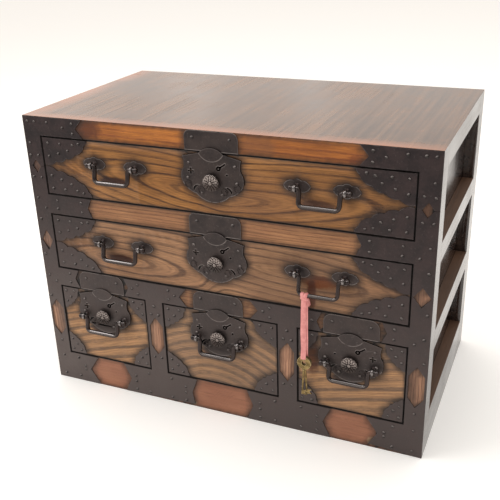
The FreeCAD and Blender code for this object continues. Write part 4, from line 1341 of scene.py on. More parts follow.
WINDOW_WOOD = BoldWood(
    "window_wood",
    (Pith(-900, 200, 4.5, 90),),
    pale=(0.55, 0.30, 0.18),
    ripe=(0.44, 0.225, 0.135),
    dark=(0.17, 0.072, 0.045),
    wander=2.0,
    contrast=0.8,
    grain=Grain.UPRIGHT,
    spots=(
        Spot(-285, 367, 13, 20, (0.17, 0.05, 0.022), 0.8, 0.3),
        Spot(285, 367, 13, 20, (0.2, 0.075, 0.03), 0.75, 0.3),
    ),
)
BASE_WOOD = BoldWood(
    "base_rail_wood",
    (Pith(-400, -90, 120, 6), Pith(260, -60, 90, 7)),
    pale=(0.37, 0.16, 0.09),
    ripe=(0.29, 0.118, 0.066),
    dark=(0.17, 0.06, 0.035),
    wander=4.0,
    contrast=0.1,
    spots=(
        Spot(-52, 6, 7, 5, (0.62, 0.45, 0.27), 0.95, 0.5),
        Spot(-162, 9, 9, 5, (0.5, 0.34, 0.2), 0.7, 0.6),
        Spot(228, 11, 6, 7, (0.55, 0.36, 0.2), 0.8, 0.5),
    ),
)
RAIL_WOOD = BoldWood(
    "rail_wood",
    (Pith(-700, 120, 260, 5.5),),
    pale=(0.40, 0.195, 0.085),
    ripe=(0.30, 0.138, 0.062),
    dark=(0.17, 0.066, 0.035),
    wander=2.5,
    contrast=0.8,
    wide=1.4,
)
TOP_RAIL_WOOD = BoldWood(
    "top_rail_wood",
    (Pith(-300, 395, 170, 9), Pith(320, 470, 150, 9)),
    pale=(0.50, 0.175, 0.032),
    ripe=(0.32, 0.105, 0.024),
    dark=(0.13, 0.03, 0.012),
    wander=3.0,
    contrast=0.6,
    spots=(
        Spot(-200, 427, 34, 20, (0.095, 0.027, 0.011), 0.88, 0.35),
        Spot(66, 425, 26, 20, (0.17, 0.07, 0.032), 0.6, 0.2),
        Spot(196, 418, 12, 8, (0.14, 0.03, 0.012), 0.5),
    ),
)
# Frame and corner plates: painted highlights on edges that face up, lighter low down from dust and
# painted floor light, black beside the drawers' gaps as painted shade.
IRON = ForgedIron(
    "plate_iron",
    black=(0.018, 0.0125, 0.0135),
    brown=(0.043, 0.028, 0.028),
    bright=(0.13, 0.108, 0.104),
    metallic=0.6,
    rough=0.5,
    wear=0.46,
    dust_and_floor_light=0.85,
    gap_shade_reach=1.35,
)
# Locks, keepers and roses: painted highlights on edges that face up, lighter low down from dust and
# painted floor light.
LOCK_IRON = ForgedIron(
    "lock_iron",
    black=(0.022, 0.016, 0.016),
    brown=(0.05, 0.036, 0.033),
    bright=(0.22, 0.19, 0.18),
    metallic=0.6,
    rough=0.48,
    wear=0.6,
    dust_and_floor_light=0.45,
)
# Nail heads: near black, with a painted highlight on their upper parts.
NAIL_IRON = ForgedIron(
    "nail_iron",
    black=(0.007, 0.005, 0.005),
    brown=(0.014, 0.01, 0.01),
    bright=(0.17, 0.148, 0.14),
    metallic=0.6,
    wear=0.8,
    hammer=0.15,
)
# Bails: smooth dark iron whose grip carries a painted highlight on top.
BAIL_IRON = ForgedIron(
    "bail_iron",
    black=(0.02, 0.0135, 0.013),
    brown=(0.04, 0.027, 0.0245),
    bright=(0.21, 0.19, 0.185),
    metallic=0.85,
    rough=0.26,
    wear=1.0,
    hammer=0.08,
)
# Buttons: bright where rubbed, and brightest on their upper petals, a painted highlight.
BOSS_IRON = ForgedIron(
    "boss_iron",
    black=(0.016, 0.011, 0.01),
    brown=(0.045, 0.031, 0.027),
    bright=(0.5, 0.43, 0.4),
    rough=0.36,
    wear=0.75,
    hammer=0.2,
)


# ------------------------------------------------------------------ chest


@dataclass
class Workshop:
    """What every sub-assembly needs: the frame, the finishes and the shared patterns."""

    frame: dict
    palette: Palette
    chance: random.Random
    nail: Piece | None = None

    @property
    def front(self) -> float:
        """Where the frame's front face lies, in millimetres."""
        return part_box("frame_plates")[1].y / MM

    def covered(self, piece: Piece, finish: Finish) -> Piece:
        """Gives a piece one finish all over, in place of any that it had.

        Args:
            piece: The piece.
            finish: What covers it.

        Returns:
            The same piece.
        """
        piece.data.materials.clear()
        piece.data.materials.append(self.palette.of(finish))
        return piece

    def painted(self, piece: Piece, coats: Iterable[tuple[Finish, FaceTest]], rest: Finish) -> None:
        """Gives a piece several finishes, each on the faces that pass its test.

        Args:
            piece: The piece.
            coats: Finishes with a test of a face's centre and normal. The last that fits holds.
            rest: The finish of all other faces.
        """
        piece.data.materials.append(self.palette.of(rest))
        for n, (finish, wanted) in enumerate(coats, start=1):
            piece.data.materials.append(self.palette.of(finish))
            for face in piece.data.polygons:
                if wanted(face.center, face.normal):
                    face.material_index = n

    def dressed(self, piece: Piece, finish: Finish, slot: Slot, body: str, *nodes: str) -> Piece:
        """Gives a piece its finish and body, and hides the built pieces that it stands for.

        Args:
            piece: The finished mesh.
            finish: What covers it, if nothing does yet.
            slot: The record's finish; not used.
            body: The body that carries it.
            nodes: The built pieces that it stands for.

        Returns:
            The same piece.
        """
        if not piece.data.materials:
            piece.data.materials.append(self.palette.of(finish))
        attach(piece, body)
        if nodes:
            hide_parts(*nodes)
        LOG.info("%s: %d faces", piece.name, len(piece.data.polygons))
        return piece

    def kept(self, node: str, finish: Finish) -> None:
        """Gives a built piece, whose shape stays, a finish."""
        self.covered(self.frame["nodes"][node], finish)
        LOG.info("%s: kept as built", node)

    def nail_pattern(self) -> Piece:
        """Models the one nail head, a low dome with a painted highlight on its upper part, that all
        the others are copied from.

        Returns:
            The head, facing the front.
        """
        if self.nail is None:
            dome = ball((0, 0, 0), 2.2, 10, 6, TURNED)
            with editing(dome):
                pick_all()
                bpy.ops.mesh.bisect(
                    plane_co=(0, 0, 0), plane_no=(0, 1, 0), use_fill=True, clear_outer=True
                )
                stretch((1.0, 0.6, 1.0))
                bpy.ops.mesh.normals_make_consistent(inside=False)
            # painted highlight: the upper part of the dome is marked bright, the rest dark
            rubbed(dome, lambda face: 0.9 if face.center.z > 0.6 * MM else 0.12)
            self.nail = smoothed(dome, 60.0)
        return self.nail

    def nails(self, places: Iterable[Vector]) -> list[Piece]:
        """Nail heads at places, each a little different.

        Args:
            places: The middle of each head, where it meets its plate.

        Returns:
            The heads.
        """
        heads = []
        for place in places:
            size = Matrix.Scale(self.chance.uniform(0.9, 1.12), 4)
            lean, spin = self.chance.uniform(-0.07, 0.07), self.chance.uniform(-0.6, 0.6)
            turn = Euler((lean, spin, 0)).to_matrix().to_4x4()
            heads.append(twin(self.nail_pattern(), Matrix.Translation(place) @ turn @ size))
        return heads

    @staticmethod
    def squared(board: Piece, step: float) -> None:
        """Cuts a board's front into small squares.

        Args:
            board: The board, facing the front.
            step: The size of the squares.
        """
        low, high = corners_of(board)
        with editing(board):
            pick_faces(board, lambda centre, normal: normal.y < FRONTAL)
            bpy.ops.mesh.hide(unselected=True)
            for axis in (0, 2):
                normal, at = Vector(), Vector()
                normal[axis] = 1.0
                count = int((high[axis] - low[axis]) / (step * MM))
                for n in range(1, count + 1):
                    at[axis] = low[axis] + n * (high[axis] - low[axis]) / (count + 1)
                    pick_all()
                    bpy.ops.mesh.bisect(plane_co=at, plane_no=normal)
            bpy.ops.mesh.reveal(select=False)

    def darkened(self, board: Piece, iron: Sequence[Piece], step: float, reach: float) -> None:
        """Notes in "smoke" how near the iron and the board's own edge each place is: dirt by the
        iron, painted shade by the edge.

        Args:
            board: The board, facing the front.
            iron: The plates that lie on it.
            step: The size of the squares that its front is cut into.
            reach: How far the dark rim round a plate fades.
        """
        outline = strung(board.data, border(board))
        self.squared(board, step)
        darkest, edge_reach, before = 0.95, 2.0, 0.3
        edges, covers = [], []
        for plate in iron:
            mesh = plate.data
            edges.append(strung(mesh, [edge.vertices for edge in mesh.edges]))
            faces = [tuple(face.vertices) for face in mesh.polygons]
            covers.append(BVHTree.FromPolygons([vertex.co for vertex in mesh.vertices], faces))
        smoke = board.data.attributes.new("smoke", "FLOAT", "POINT")
        for vertex in board.data.vertices:
            seen = Vector((vertex.co.x, 0.0, vertex.co.z))
            far = min(tree.find(seen)[2] for tree in edges)
            start = seen - Vector((0, before, 0))
            if any(cover.ray_cast(start, Vector((0, 1, 0)), before)[0] for cover in covers):
                far = 0.0
            near_iron = math.exp(-((far / (reach * MM)) ** 1.8))
            # painted shade: darker within a couple of millimetres of the board's own edge, beside
            # the gap
            near_edge = math.exp(-((outline.find(seen)[2] / (edge_reach * MM)) ** 1.5))
            smoke.data[vertex.index].value = darkest * max(near_iron, near_edge)


@dataclass
class Carcass:
    """The frame with its panels, and the iron plates on its front."""

    shop: Workshop
    body: str = "carcass"
    broken: tuple[tuple[float, float, float, float], ...] = (
        (-50.7, 0, -6, 4),
        (-150, 0, 5, 3),
        (222, 0, 4, 5),
    )

    def build(self) -> None:
        """Makes every piece of the carcass."""
        self.ironwork()
        self.posts()
        self.rails()
        self.panels()
        hidden = "back_panel shelves bottom_board shelf_bearers partitions drawer_guides"
        for node in hidden.split():
            self.shop.kept(node, BARE)

    @staticmethod
    def seam(middle: Vector) -> bool:
        """Tells whether an edge lies where two pieces of the top meet.

        Args:
            middle: The edge's middle.

        Returns:
            Whether it is such a seam, away from the outline of the top.
        """
        low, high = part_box("corner_posts")
        rim = 1.5 * MM
        inside = abs(middle.x) < high.x - rim and low.y + rim < middle.y < high.y - rim
        return middle.z > TOP_LEVEL and inside

    def ironwork(self) -> None:
        """Frame plates and keeper plates with rims, a few broken corners, and nail heads."""
        frame = self.shop.frame
        plates = pattern_of(frame, "frame_plates", "frame_plates_forged")
        with editing(plates, "VERT"):
            for x, z, across, up in self.broken:
                near = lambda co: abs(co.x - x * MM) < 12 * MM and co.z < (z + 3) * MM
                if pick_verts(plates, near):
                    bpy.ops.transform.translate(value=(across * MM, 0, up * MM))
        rimmed(plates, 0.9, 0.25)
        eased(plates, 0.3, below=0.3)
        keepers = pattern_of(frame, "keeper_plates", "keeper_plates_forged")
        rimmed(keepers, 1.4, 0.3)
        eased(keepers, 0.3, below=0.3)
        parts = loose_parts(pattern_of(frame, "frame_nails", "frame_nail_places"))
        heads = self.shop.nails([seat_of(part) for part in parts])
        dropped(parts)
        self.plates = [plates, keepers]
        self.shop.dressed(plates, IRON, Slot.IRON, self.body, "frame_plates")
        self.shop.dressed(keepers, LOCK_IRON, Slot.IRON, self.body, "keeper_plates")
        nails = joined(heads, "frame_nail_heads")
        self.shop.dressed(nails, NAIL_IRON, Slot.IRON, self.body, "frame_nails")

    def planed(
        self,
        node: str,
        coats: Sequence[tuple[Finish, FaceTest]],
        smoke: tuple[float, float] | None = None,
    ) -> None:
        """Eases a built wooden piece and dresses it: lacquer outside, and the top's on top.

        Args:
            node: The built piece.
            coats: Other finishes with a test of a face's centre and normal.
            smoke: The step and the reach of the dirt round the iron that lies on it and of the
                painted shade at its edges, if any.
        """
        piece = pattern_of(self.shop.frame, node, f"{node}_planed")
        eased(piece, 0.3, BOARD_ANGLE, spare=self.seam)
        if smoke:
            self.shop.darkened(piece, self.plates, *smoke)
        top = (TOP_LACQUER, lambda centre, normal: centre.z > TOP_LEVEL and normal.z > 0.5)
        self.shop.painted(piece, [*coats, top], SIDE_LACQUER)
        self.shop.dressed(piece, SIDE_LACQUER, Slot.LACQUER, self.body, node)

    def posts(self) -> None:
        """Corner posts and dividers: bare inside, with front wood in the plates' windows."""
        face = (self.shop.front + 0.3) * MM
        inner, outer, opening = 283 * MM, 298.5 * MM, -120 * MM

        def window(centre: Vector, normal: Vector) -> bool:
            """Whether a face is on the front."""
            return centre.y < face and normal.y < -0.9

        def inside(centre: Vector, normal: Vector) -> bool:
            """Whether a face looks back into the chest."""
            return normal.y > 0.5 and abs(centre.x) < inner and centre.y < 100 * MM

        def mouth(centre: Vector, normal: Vector) -> bool:
            """Whether a face lines an opening."""
            return normal.y > -0.9 and abs(centre.x) < outer and centre.y < opening

        # the mouths of the openings get painted shade
        coats = [(WINDOW_WOOD, window), (BARE, inside), (DARK_EDGES, mouth)]
        for node in ("corner_posts", "front_dividers"):
            self.planed(node, coats, smoke=(8.0, 4.0))

    def rails(self) -> None:
        """Front rails, each with its own wood in front, back rails and side rails."""
        face = (self.shop.front + 0.3) * MM
        inner = 282 * MM

        def front(low: float, high: float) -> FaceTest:
            """A test for faces on the front between two heights."""
            ahead = lambda centre, normal: normal.y < -0.5 and centre.y < face
            return lambda centre, normal: ahead(centre, normal) and low < centre.z < high

        def mouth(centre: Vector, normal: Vector) -> bool:
            """Whether a face lines an opening."""
            return abs(normal.y) < 0.9 and 0.03 < centre.z < 0.43

        def ledge(centre: Vector, normal: Vector) -> bool:
            """Whether a face is a ledge under a side panel."""
            return normal.z > 0.9 and abs(centre.x) > inner and centre.z < 0.42

        woods = [
            # the mouths of the openings get painted shade
            (DARK_EDGES, mouth),
            (BARE, lambda centre, normal: normal.y > 0.5),
            (BASE_WOOD, front(-1.0, 0.06)),
            (RAIL_WOOD, front(0.15, 0.35)),
            (TOP_RAIL_WOOD, front(0.4, 1.0)),
        ]
        self.planed("front_rails", woods, smoke=(7.0, 6.0))
        self.planed("back_rails", [(BARE, lambda centre, normal: normal.y < -0.5)])
        inside = (BARE, lambda centre, normal: abs(centre.x) < inner and centre.z < 0.439)
        self.planed("side_rails", [inside, (LEDGE, ledge)])

    def panels(self) -> None:
        """Side panels and the top panel, which closes the seams round it."""
        self.shop.kept("side_panels", PANEL_LACQUER)
        panel = pattern_of(self.shop.frame, "top_panel", "top_panel_planed")
        low, high = corners_of(panel)
        closed, proud = 0.4 * MM, 0.03 * MM
        with editing(panel, "VERT"):
            pick_verts(panel, lambda co: co.z > TOP_LEVEL)
            grow = [1 + closed / (high[axis] - low[axis]) for axis in (0, 1)]
            bpy.ops.transform.resize(value=(*grow, 1.0), center_override=(low + high) / 2)
            bpy.ops.transform.translate(value=(0, 0, proud))
        eased(panel, 0.12, BOARD_ANGLE, spare=self.seam)
        self.shop.painted(panel, [(BARE, lambda centre, normal: normal.z < -0.5)], TOP_LACQUER)
        self.shop.dressed(panel, TOP_LACQUER, Slot.LACQUER, self.body, "top_panel")


@dataclass
class Boss:
    """A lock's button: a domed disc with two rings of petals on a stem."""

    radius: float = 11.8
    thick: float = 2.7
    petal_high: float = 2.3
    centre: float = 3.1
    steps: tuple[tuple[float, float], ...] = ((0.9, 0.45), (0.7, -0.35), (3.6, 0.25))
    petals: tuple[tuple[int, float, float, float], ...] = (
        (14, 8.6, 2.9, 1.75),
        (9, 5.2, 2.1, 1.35),
    )

    def build(self, low: Vector, high: Vector, name: str) -> Piece:
        """Models the button in the room that the built one takes.

        Args:
            low: The lowest corner of the built button.
            high: Its highest corner.
            name: The piece's name.

        Returns:
            The button, facing the front.
        """
        middle = (low + high) / 2
        middle.y = low.y + self.petal_high * MM
        parts = [self.disc(middle, high.y)]
        for ring in self.petals:
            parts += self.ring(middle, *ring)
        dome = ball(middle, self.centre, 20, 12)
        with editing(dome):
            stretch((1.0, 0.7, 1.0), middle)
        rubbed(dome, lambda face: 0.9 if face.center.y < middle.y - 1.2 * MM else 0.1)
        parts.append(smoothed(dome, 180.0))
        whole = joined(parts, name)
        # painted highlight: the upper part of the button stays bright, the lower part is dimmed
        worn = whole.data.attributes["worn"]
        for face in whole.data.polygons:
            rise = (face.center.z - middle.z) / (self.radius * MM)
            for loop in face.loop_indices:
                worn.data[loop].value *= min(1.0, max(0.12, 0.45 + 1.3 * rise))
        return whole

    def disc(self, middle: Vector, back: float) -> Piece:
        """The stepped disc and its stem.

        Args:
            middle: The middle of the disc's face.
            back: How far the stem reaches.

        Returns:
            The disc.
        """
        centre = middle + Vector((0, self.thick / 2 * MM, 0))
        disc = round_bar(centre, self.radius, self.thick, 48)
        with editing(disc):
            pick_faces(disc, lambda centre, normal: normal.y < -0.9)
            for wide, deep in self.steps:
                bpy.ops.mesh.inset(thickness=wide * MM, depth=deep * MM)
            pick_faces(disc, lambda centre, normal: normal.y > 0.9)
            bpy.ops.mesh.inset(thickness=7.8 * MM, depth=0.0)
            stem = (0, back - middle.y - self.thick * MM, 0)
            bpy.ops.mesh.extrude_region_move(TRANSFORM_OT_translate={"value": stem})
        return eased(disc, 0.25)

    @staticmethod
    def ring(middle: Vector, count: int, out: float, long: float, wide: float) -> list[Piece]:
        """A ring of petals.

        Args:
            middle: The middle of the disc's face.
            count: How many petals it has.
            out: How far from the middle they lie.
            long: A petal's half length.
            wide: Its half width.

        Returns:
            The petals.
        """
        petal = ball((0, 0, 0), 1.0, 12, 8)
        with editing(petal, "VERT"):
            stretch((wide, 1.3, long))
            pick_verts(petal, lambda co: co.z > 0.5 * long * MM)
            bpy.ops.transform.resize(value=(1.3, 1.0, 1.0), center_override=(0, 0, 0))
        rubbed(petal, lambda face: 0.6 if face.center.y < -0.7 * MM else 0.05)
        smoothed(petal, 180.0)
        at = Matrix.Translation(middle - Vector((0, 0.15 * MM, 0)))
        up = Matrix.Translation((0, 0, out * MM))
        turns = [Matrix.Rotation(2 * math.pi * n / count, 4, "Y") for n in range(count)]
        petals = [twin(petal, at @ turn @ up) for turn in turns]
        dropped([petal])
        return petals


@dataclass
class Bail:
    """A bail handle: a bent rod whose ends pass out through two eyes to knobs."""

    node: str
    rod: float = 3.2
    drop: float = 23.0
    leg: float = 27.0
    end: float = 39.15
    elbow: float = 4.0
    corner: float = 6.5
    lean: float = 11.5
    knob: float = 4.1
    swells: tuple[float, ...] = (1.04, 1.04, 1.0, 1 / 1.04, 1 / 1.04)

    def build(self, shop: Workshop) -> Piece:
        """Bends the rod and turns it to where it hangs.

        Args:
            shop: The workshop.

        Returns:
            The bail on its body.
        """
        parts = [self.bent()]
        for side in (-1, 1):
            place = (side * self.end * MM, 0, 0)
            knob = ball(place, self.knob, 16, 10, ACROSS)
            with editing(knob, "VERT"):
                stretch((0.78, 1.0, 1.0), place)
            parts.append(knob)
        bail = joined(parts, f"{self.node}_forged")
        rubbed(bail, self.bright)
        smoothed(bail, 60.0)
        low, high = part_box(self.node)
        bail.rotation_euler = (-math.radians(self.lean), 0, 0)
        pivot = (shop.front - PIVOT_OUT) * MM
        bail.location = ((low.x + high.x) / 2, pivot, high.z - self.knob * MM)
        settled(bail)
        return shop.dressed(bail, BAIL_IRON, Slot.IRON, self.node, self.node)

    def bent(self) -> Piece:
        """Draws the rod out from its left end, round both corners to its right end.

        Returns:
            The rod, hanging straight down from a pivot at the origin.
        """
        bpy.ops.mesh.primitive_circle_add(
            vertices=14, radius=self.rod * MM, location=(-self.end * MM, 0, 0), rotation=ACROSS
        )
        bar = added()
        outside = self.end - self.leg - self.elbow
        down = self.drop - self.elbow - self.corner
        x, step = self.corner - self.leg, 2 * (self.leg - self.corner) / len(self.swells)
        with editing(bar, "VERT"):
            pick_all()
            self.run(outside, 0)
            self.bend(-self.leg - self.elbow, -self.elbow, 90.0)
            for _ in range(3):
                self.run(0, -down / 3)
            self.bend(x, self.corner - self.drop, -90.0)
            for swell in self.swells:
                x += step
                self.run(step, 0)
                middle = (x * MM, 0, -self.drop * MM)
                bpy.ops.transform.resize(value=(1.0, swell, swell), center_override=middle)
            self.bend(x, self.corner - self.drop, -90.0)
            for _ in range(3):
                self.run(0, down / 3)
            self.bend(self.leg + self.elbow, -self.elbow, 90.0)
            self.run(outside, 0)
            pick_all()
            bpy.ops.mesh.remove_doubles(threshold=0.01 * MM)
            close_ends()
        return bar

    @staticmethod
    def run(across: float, up: float) -> None:
        """Draws the open end of the rod out straight."""
        step = (across * MM, 0, up * MM)
        bpy.ops.mesh.extrude_region_move(TRANSFORM_OT_translate={"value": step})

    @staticmethod
    def bend(across: float, up: float, degrees: float) -> None:
        """Turns the open end of the rod round a centre in its plane."""
        centre, angle = (across * MM, 0, up * MM), -math.radians(degrees)
        bpy.ops.mesh.spin(steps=7, angle=angle, center=centre, axis=(0, 1, 0))

    def bright(self, face: bpy.types.MeshPolygon) -> float:
        """Tells how bright a face of the bail is marked: rubbed, with a painted highlight on the
        top of the grip.

        Args:
            face: The face, before the bail is turned.

        Returns:
            Most on the top of the grip, a painted highlight, some on the ends, and little
            elsewhere.
        """
        # painted highlight: the upward faces of the grip are the brightest
        if face.center.z < (self.corner * 0.4 - self.drop) * MM and face.normal.z > 0.15:
            return 0.85
        return 0.45 if face.center.z > 0.4 * self.rod * MM else 0.1


@dataclass
class Drawer:
    """A drawer with its corner plates, lock, button and handle posts."""

    shop: Workshop
    name: str
    wood: BoldWood
    handles: tuple[tuple[float, float], ...]
    eye: float = 33.0
    lock_middle: float = 41.0
    plate_front: float = 1.2
    keyhole: tuple[float, float] = (10.0, -21.5)
    keyhole_slant: float = 35.0
    curls: tuple[tuple[float, float, int], ...] = ((17.0, -54.0, 1), (36.0, -47.0, -1))

    @property
    def body(self) -> str:
        """The body that carries the drawer."""
        return f"{self.name}_drawer"

    def build(self) -> None:
        """Makes every piece of the drawer."""
        iron = [self.corner_plates(), self.lock(), self.posts()]
        self.front(iron)
        self.shop.kept(f"{self.body}_box", BOX_WOOD)
        self.shop.kept(f"{self.body}_lock_bolt", LOCK_IRON)
        node = f"{self.body}_button"
        boss = Boss().build(*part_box(node), f"{self.body}_boss")
        self.shop.dressed(boss, BOSS_IRON, Slot.IRON, f"{self.name}_button", node)

    def front(self, iron: Sequence[Piece]) -> None:
        """The front board, darkened round its iron.

        Args:
            iron: What lies on it.
        """
        node = f"{self.body}_front"
        board = pattern_of(self.shop.frame, node, f"{node}_planed")
        eased(board, 0.9, BOARD_ANGLE)
        self.shop.darkened(board, iron, 4.5, 7.0)
        # the board's sides get painted shade over their dark edges
        edges = (DARK_EDGES, lambda centre, normal: abs(normal.y) < 0.3)
        self.shop.painted(board, [edges], self.wood)
        self.shop.dressed(board, self.wood, Slot.FRONT, self.body, node)

    def split(self, node: str) -> tuple[list[Piece], list[Vector]]:
        """Takes the nails off a copy of a built piece.

        Args:
            node: The built piece.

        Returns:
            Its other solids, and the places of its nails.
        """
        parts = loose_parts(pattern_of(self.shop.frame, node, f"{node}_forged"))
        kept, nails = [], []
        for part in parts:
            low, high = corners_of(part)
            small = high.x - low.x < 5 * MM and high.y - low.y < 2 * MM
            (nails if small else kept).append(part)
        seats = [seat_of(nail) for nail in nails]
        dropped(nails)
        return kept, seats

    def corner_plates(self) -> Piece:
        """Four scalloped corners, each with a rim, and their nails.

        Returns:
            The dressed piece.
        """
        node = f"{self.body}_corner_plates"
        plates, seats = self.split(node)
        for plate in plates:
            rimmed(plate, 1.0, 0.25)
            eased(plate, 0.3, below=0.35)
            self.shop.covered(plate, IRON)
        heads = [self.shop.covered(head, NAIL_IRON) for head in self.shop.nails(seats)]
        whole = joined([*plates, *heads], f"{node}_forged")
        return self.shop.dressed(whole, IRON, Slot.IRON, self.body, node)

    def lock(self) -> Piece:
        """The lock plate with its crest, a pin in the keyhole, chased curls and nails.

        Returns:
            The dressed piece.
        """
        node = f"{self.body}_lock"
        parts, seats = self.split(node)
        low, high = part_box(f"{self.body}_button")
        front = (self.shop.front - self.plate_front) * MM
        middle = Vector(((low.x + high.x) / 2, front, (low.z + high.z) / 2 + self.lock_middle * MM))
        for part in parts:
            rimmed(part, 1.2, 0.3)
            eased(part, 0.35, below=0.3)
        key = middle + Vector((self.keyhole[0], 0, self.keyhole[1])) * MM
        slope = math.radians(self.keyhole_slant)
        slant = Vector((math.cos(slope), 0, math.sin(slope)))

        def at_keyhole(centre: Vector, normal: Vector) -> bool:
            """Tells whether a face is an inner edge of the keyhole or of the slot beside it.

            Args:
                centre: The face's middle.
                normal: Its direction.

            Returns:
                Whether it is.
            """
            along = min(max((centre - key).dot(slant), 0.0), 12.5 * MM)
            off = centre - key - slant * along
            near = 5.2 * MM - 0.62 * min(along, 4 * MM)
            return normal.y > FRONTAL and Vector((off.x, off.z)).length < near

        trim = [self.pin(key)]
        for side in (-1, 1):
            for out, up, way in self.curls:
                trim.append(self.curl(middle + Vector((side * out, 0, up)) * MM, side * way))
        whole = joined([*parts, *trim, *self.shop.nails(seats)], f"{node}_forged")
        # painted shade: the keyhole's inner edges and every face behind the plate's front are near
        # black
        behind = lambda centre, normal: centre.y > front + 0.75 * MM
        self.shop.painted(whole, [(PaintedShade(), at_keyhole), (PaintedShade(), behind)], LOCK_IRON)
        return self.shop.dressed(whole, LOCK_IRON, Slot.IRON, self.body, node)

    @staticmethod
    def pin(place: Vector) -> Piece:
        """The round pin in a keyhole, which the key's pipe slips over.

        Args:
            place: The middle of the keyhole, on the plate's face.

        Returns:
            The pin.
        """
        pin = round_bar(place + Vector((0, 1.6 * MM, 0)), 1.3, 2.2, 16)
        with editing(pin):
            pick_faces(pin, lambda centre, normal: normal.y < -0.9)
            bpy.ops.mesh.inset(thickness=0.5 * MM, depth=0.4 * MM)
        return eased(pin, 0.2, 25.0)

    @staticmethod
    def curl(place: Vector, side: int) -> Piece:
        """A small chased scroll: a ring of wire turned inwards as it closes.

        Args:
            place: The scroll's middle.
            side: The side on which it starts, and the way it turns: 1 or -1.

        Returns:
            The scroll.
        """
        start = place + Vector((side * 5.0 * MM, 0, 0))
        bpy.ops.mesh.primitive_circle_add(vertices=8, radius=0.55 * MM, location=start)
        wire = added()
        with editing(wire, "VERT"):
            pick_all()
            centre = place.copy()
            for closer, degrees in ((0.0, 150.0), (1.2, 130.0), (1.3, 150.0)):
                angle = side * math.radians(degrees)
                bpy.ops.mesh.spin(steps=6, angle=angle, center=centre, axis=(0, 1, 0))
                ring = [v.co for v in bmesh.from_edit_mesh(wire.data).verts if v.select]
                at = sum(ring, Vector()) / max(1, len(ring))
                centre = at + (centre - at) * (1 - closer / 4.2)
            close_ends()
        return smoothed(wire, 60.0)

    def posts(self) -> Piece:
        """Two eyed posts for each handle, over a rose on the wide drawers.

        Returns:
            The dressed piece.
        """
        node = f"{self.body}_handle_posts"
        solids = loose_parts(pattern_of(self.shop.frame, node, f"{node}_pattern"))
        wide = [corners_of(part)[1].x - corners_of(part)[0].x > 20 * MM for part in solids]
        roses = [part for part, is_rose in zip(solids, wide) if is_rose]
        dropped(part for part, is_rose in zip(solids, wide) if not is_rose)
        for rose in roses:
            rimmed(rose, 1.3, 0.3)
            eased(rose, 0.3, below=0.35)
            self.shop.covered(rose, LOCK_IRON)
        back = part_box(node)[1].y
        pivot = (self.shop.front - PIVOT_OUT) * MM
        parts = []
        for x, z in self.handles:
            for side in (-1, 1):
                parts += self.post(Vector(((x + side * self.eye) * MM, pivot, z * MM)), back)
        parts = [self.shop.covered(part, BAIL_IRON) for part in parts]
        whole = joined([*roses, *parts], f"{node}_forged")
        return self.shop.dressed(whole, BAIL_IRON, Slot.IRON, self.body, node)

    def post(self, place: Vector, back: float) -> list[Piece]:
        """A post: an eye across the bail's end, a shank through the board, and a collar.

        Args:
            place: The middle of the eye.
            back: How far the shank reaches.

        Returns:
            Its parts.
        """
        bpy.ops.mesh.primitive_torus_add(
            major_segments=24,
            minor_segments=10,
            major_radius=4.25 * MM,
            minor_radius=0.95 * MM,
            location=place,
            rotation=ACROSS,
        )
        eye = added()
        with editing(eye):
            stretch((2.1, 1, 1), place)
        rubbed(eye, lambda face: 0.9 if face.center.y < place.y - 1.5 * MM else 0.2)
        smoothed(eye, 180.0)
        start = place.y + 4.4 * MM
        centre = (place.x, (back + start) / 2, place.z)
        shank = round_bar(centre, 1.6, (back - start) / MM, 16)
        with editing(shank):
            pick_faces(shank, lambda centre, normal: normal.y > 0.9)
            bpy.ops.mesh.inset(thickness=0.5 * MM, depth=0.0)
        eased(shank, 0.25)
        bpy.ops.mesh.primitive_cone_add(
            vertices=18,
            radius1=4.6 * MM,
            radius2=2.1 * MM,
            depth=3.4 * MM,
            location=(place.x, (self.shop.front - 1.9) * MM, place.z),
            rotation=TURNED,
        )
        return [eye, shank, eased(added(), 0.4, 25.0)]


Row = tuple[Vector, Vector, Vector]


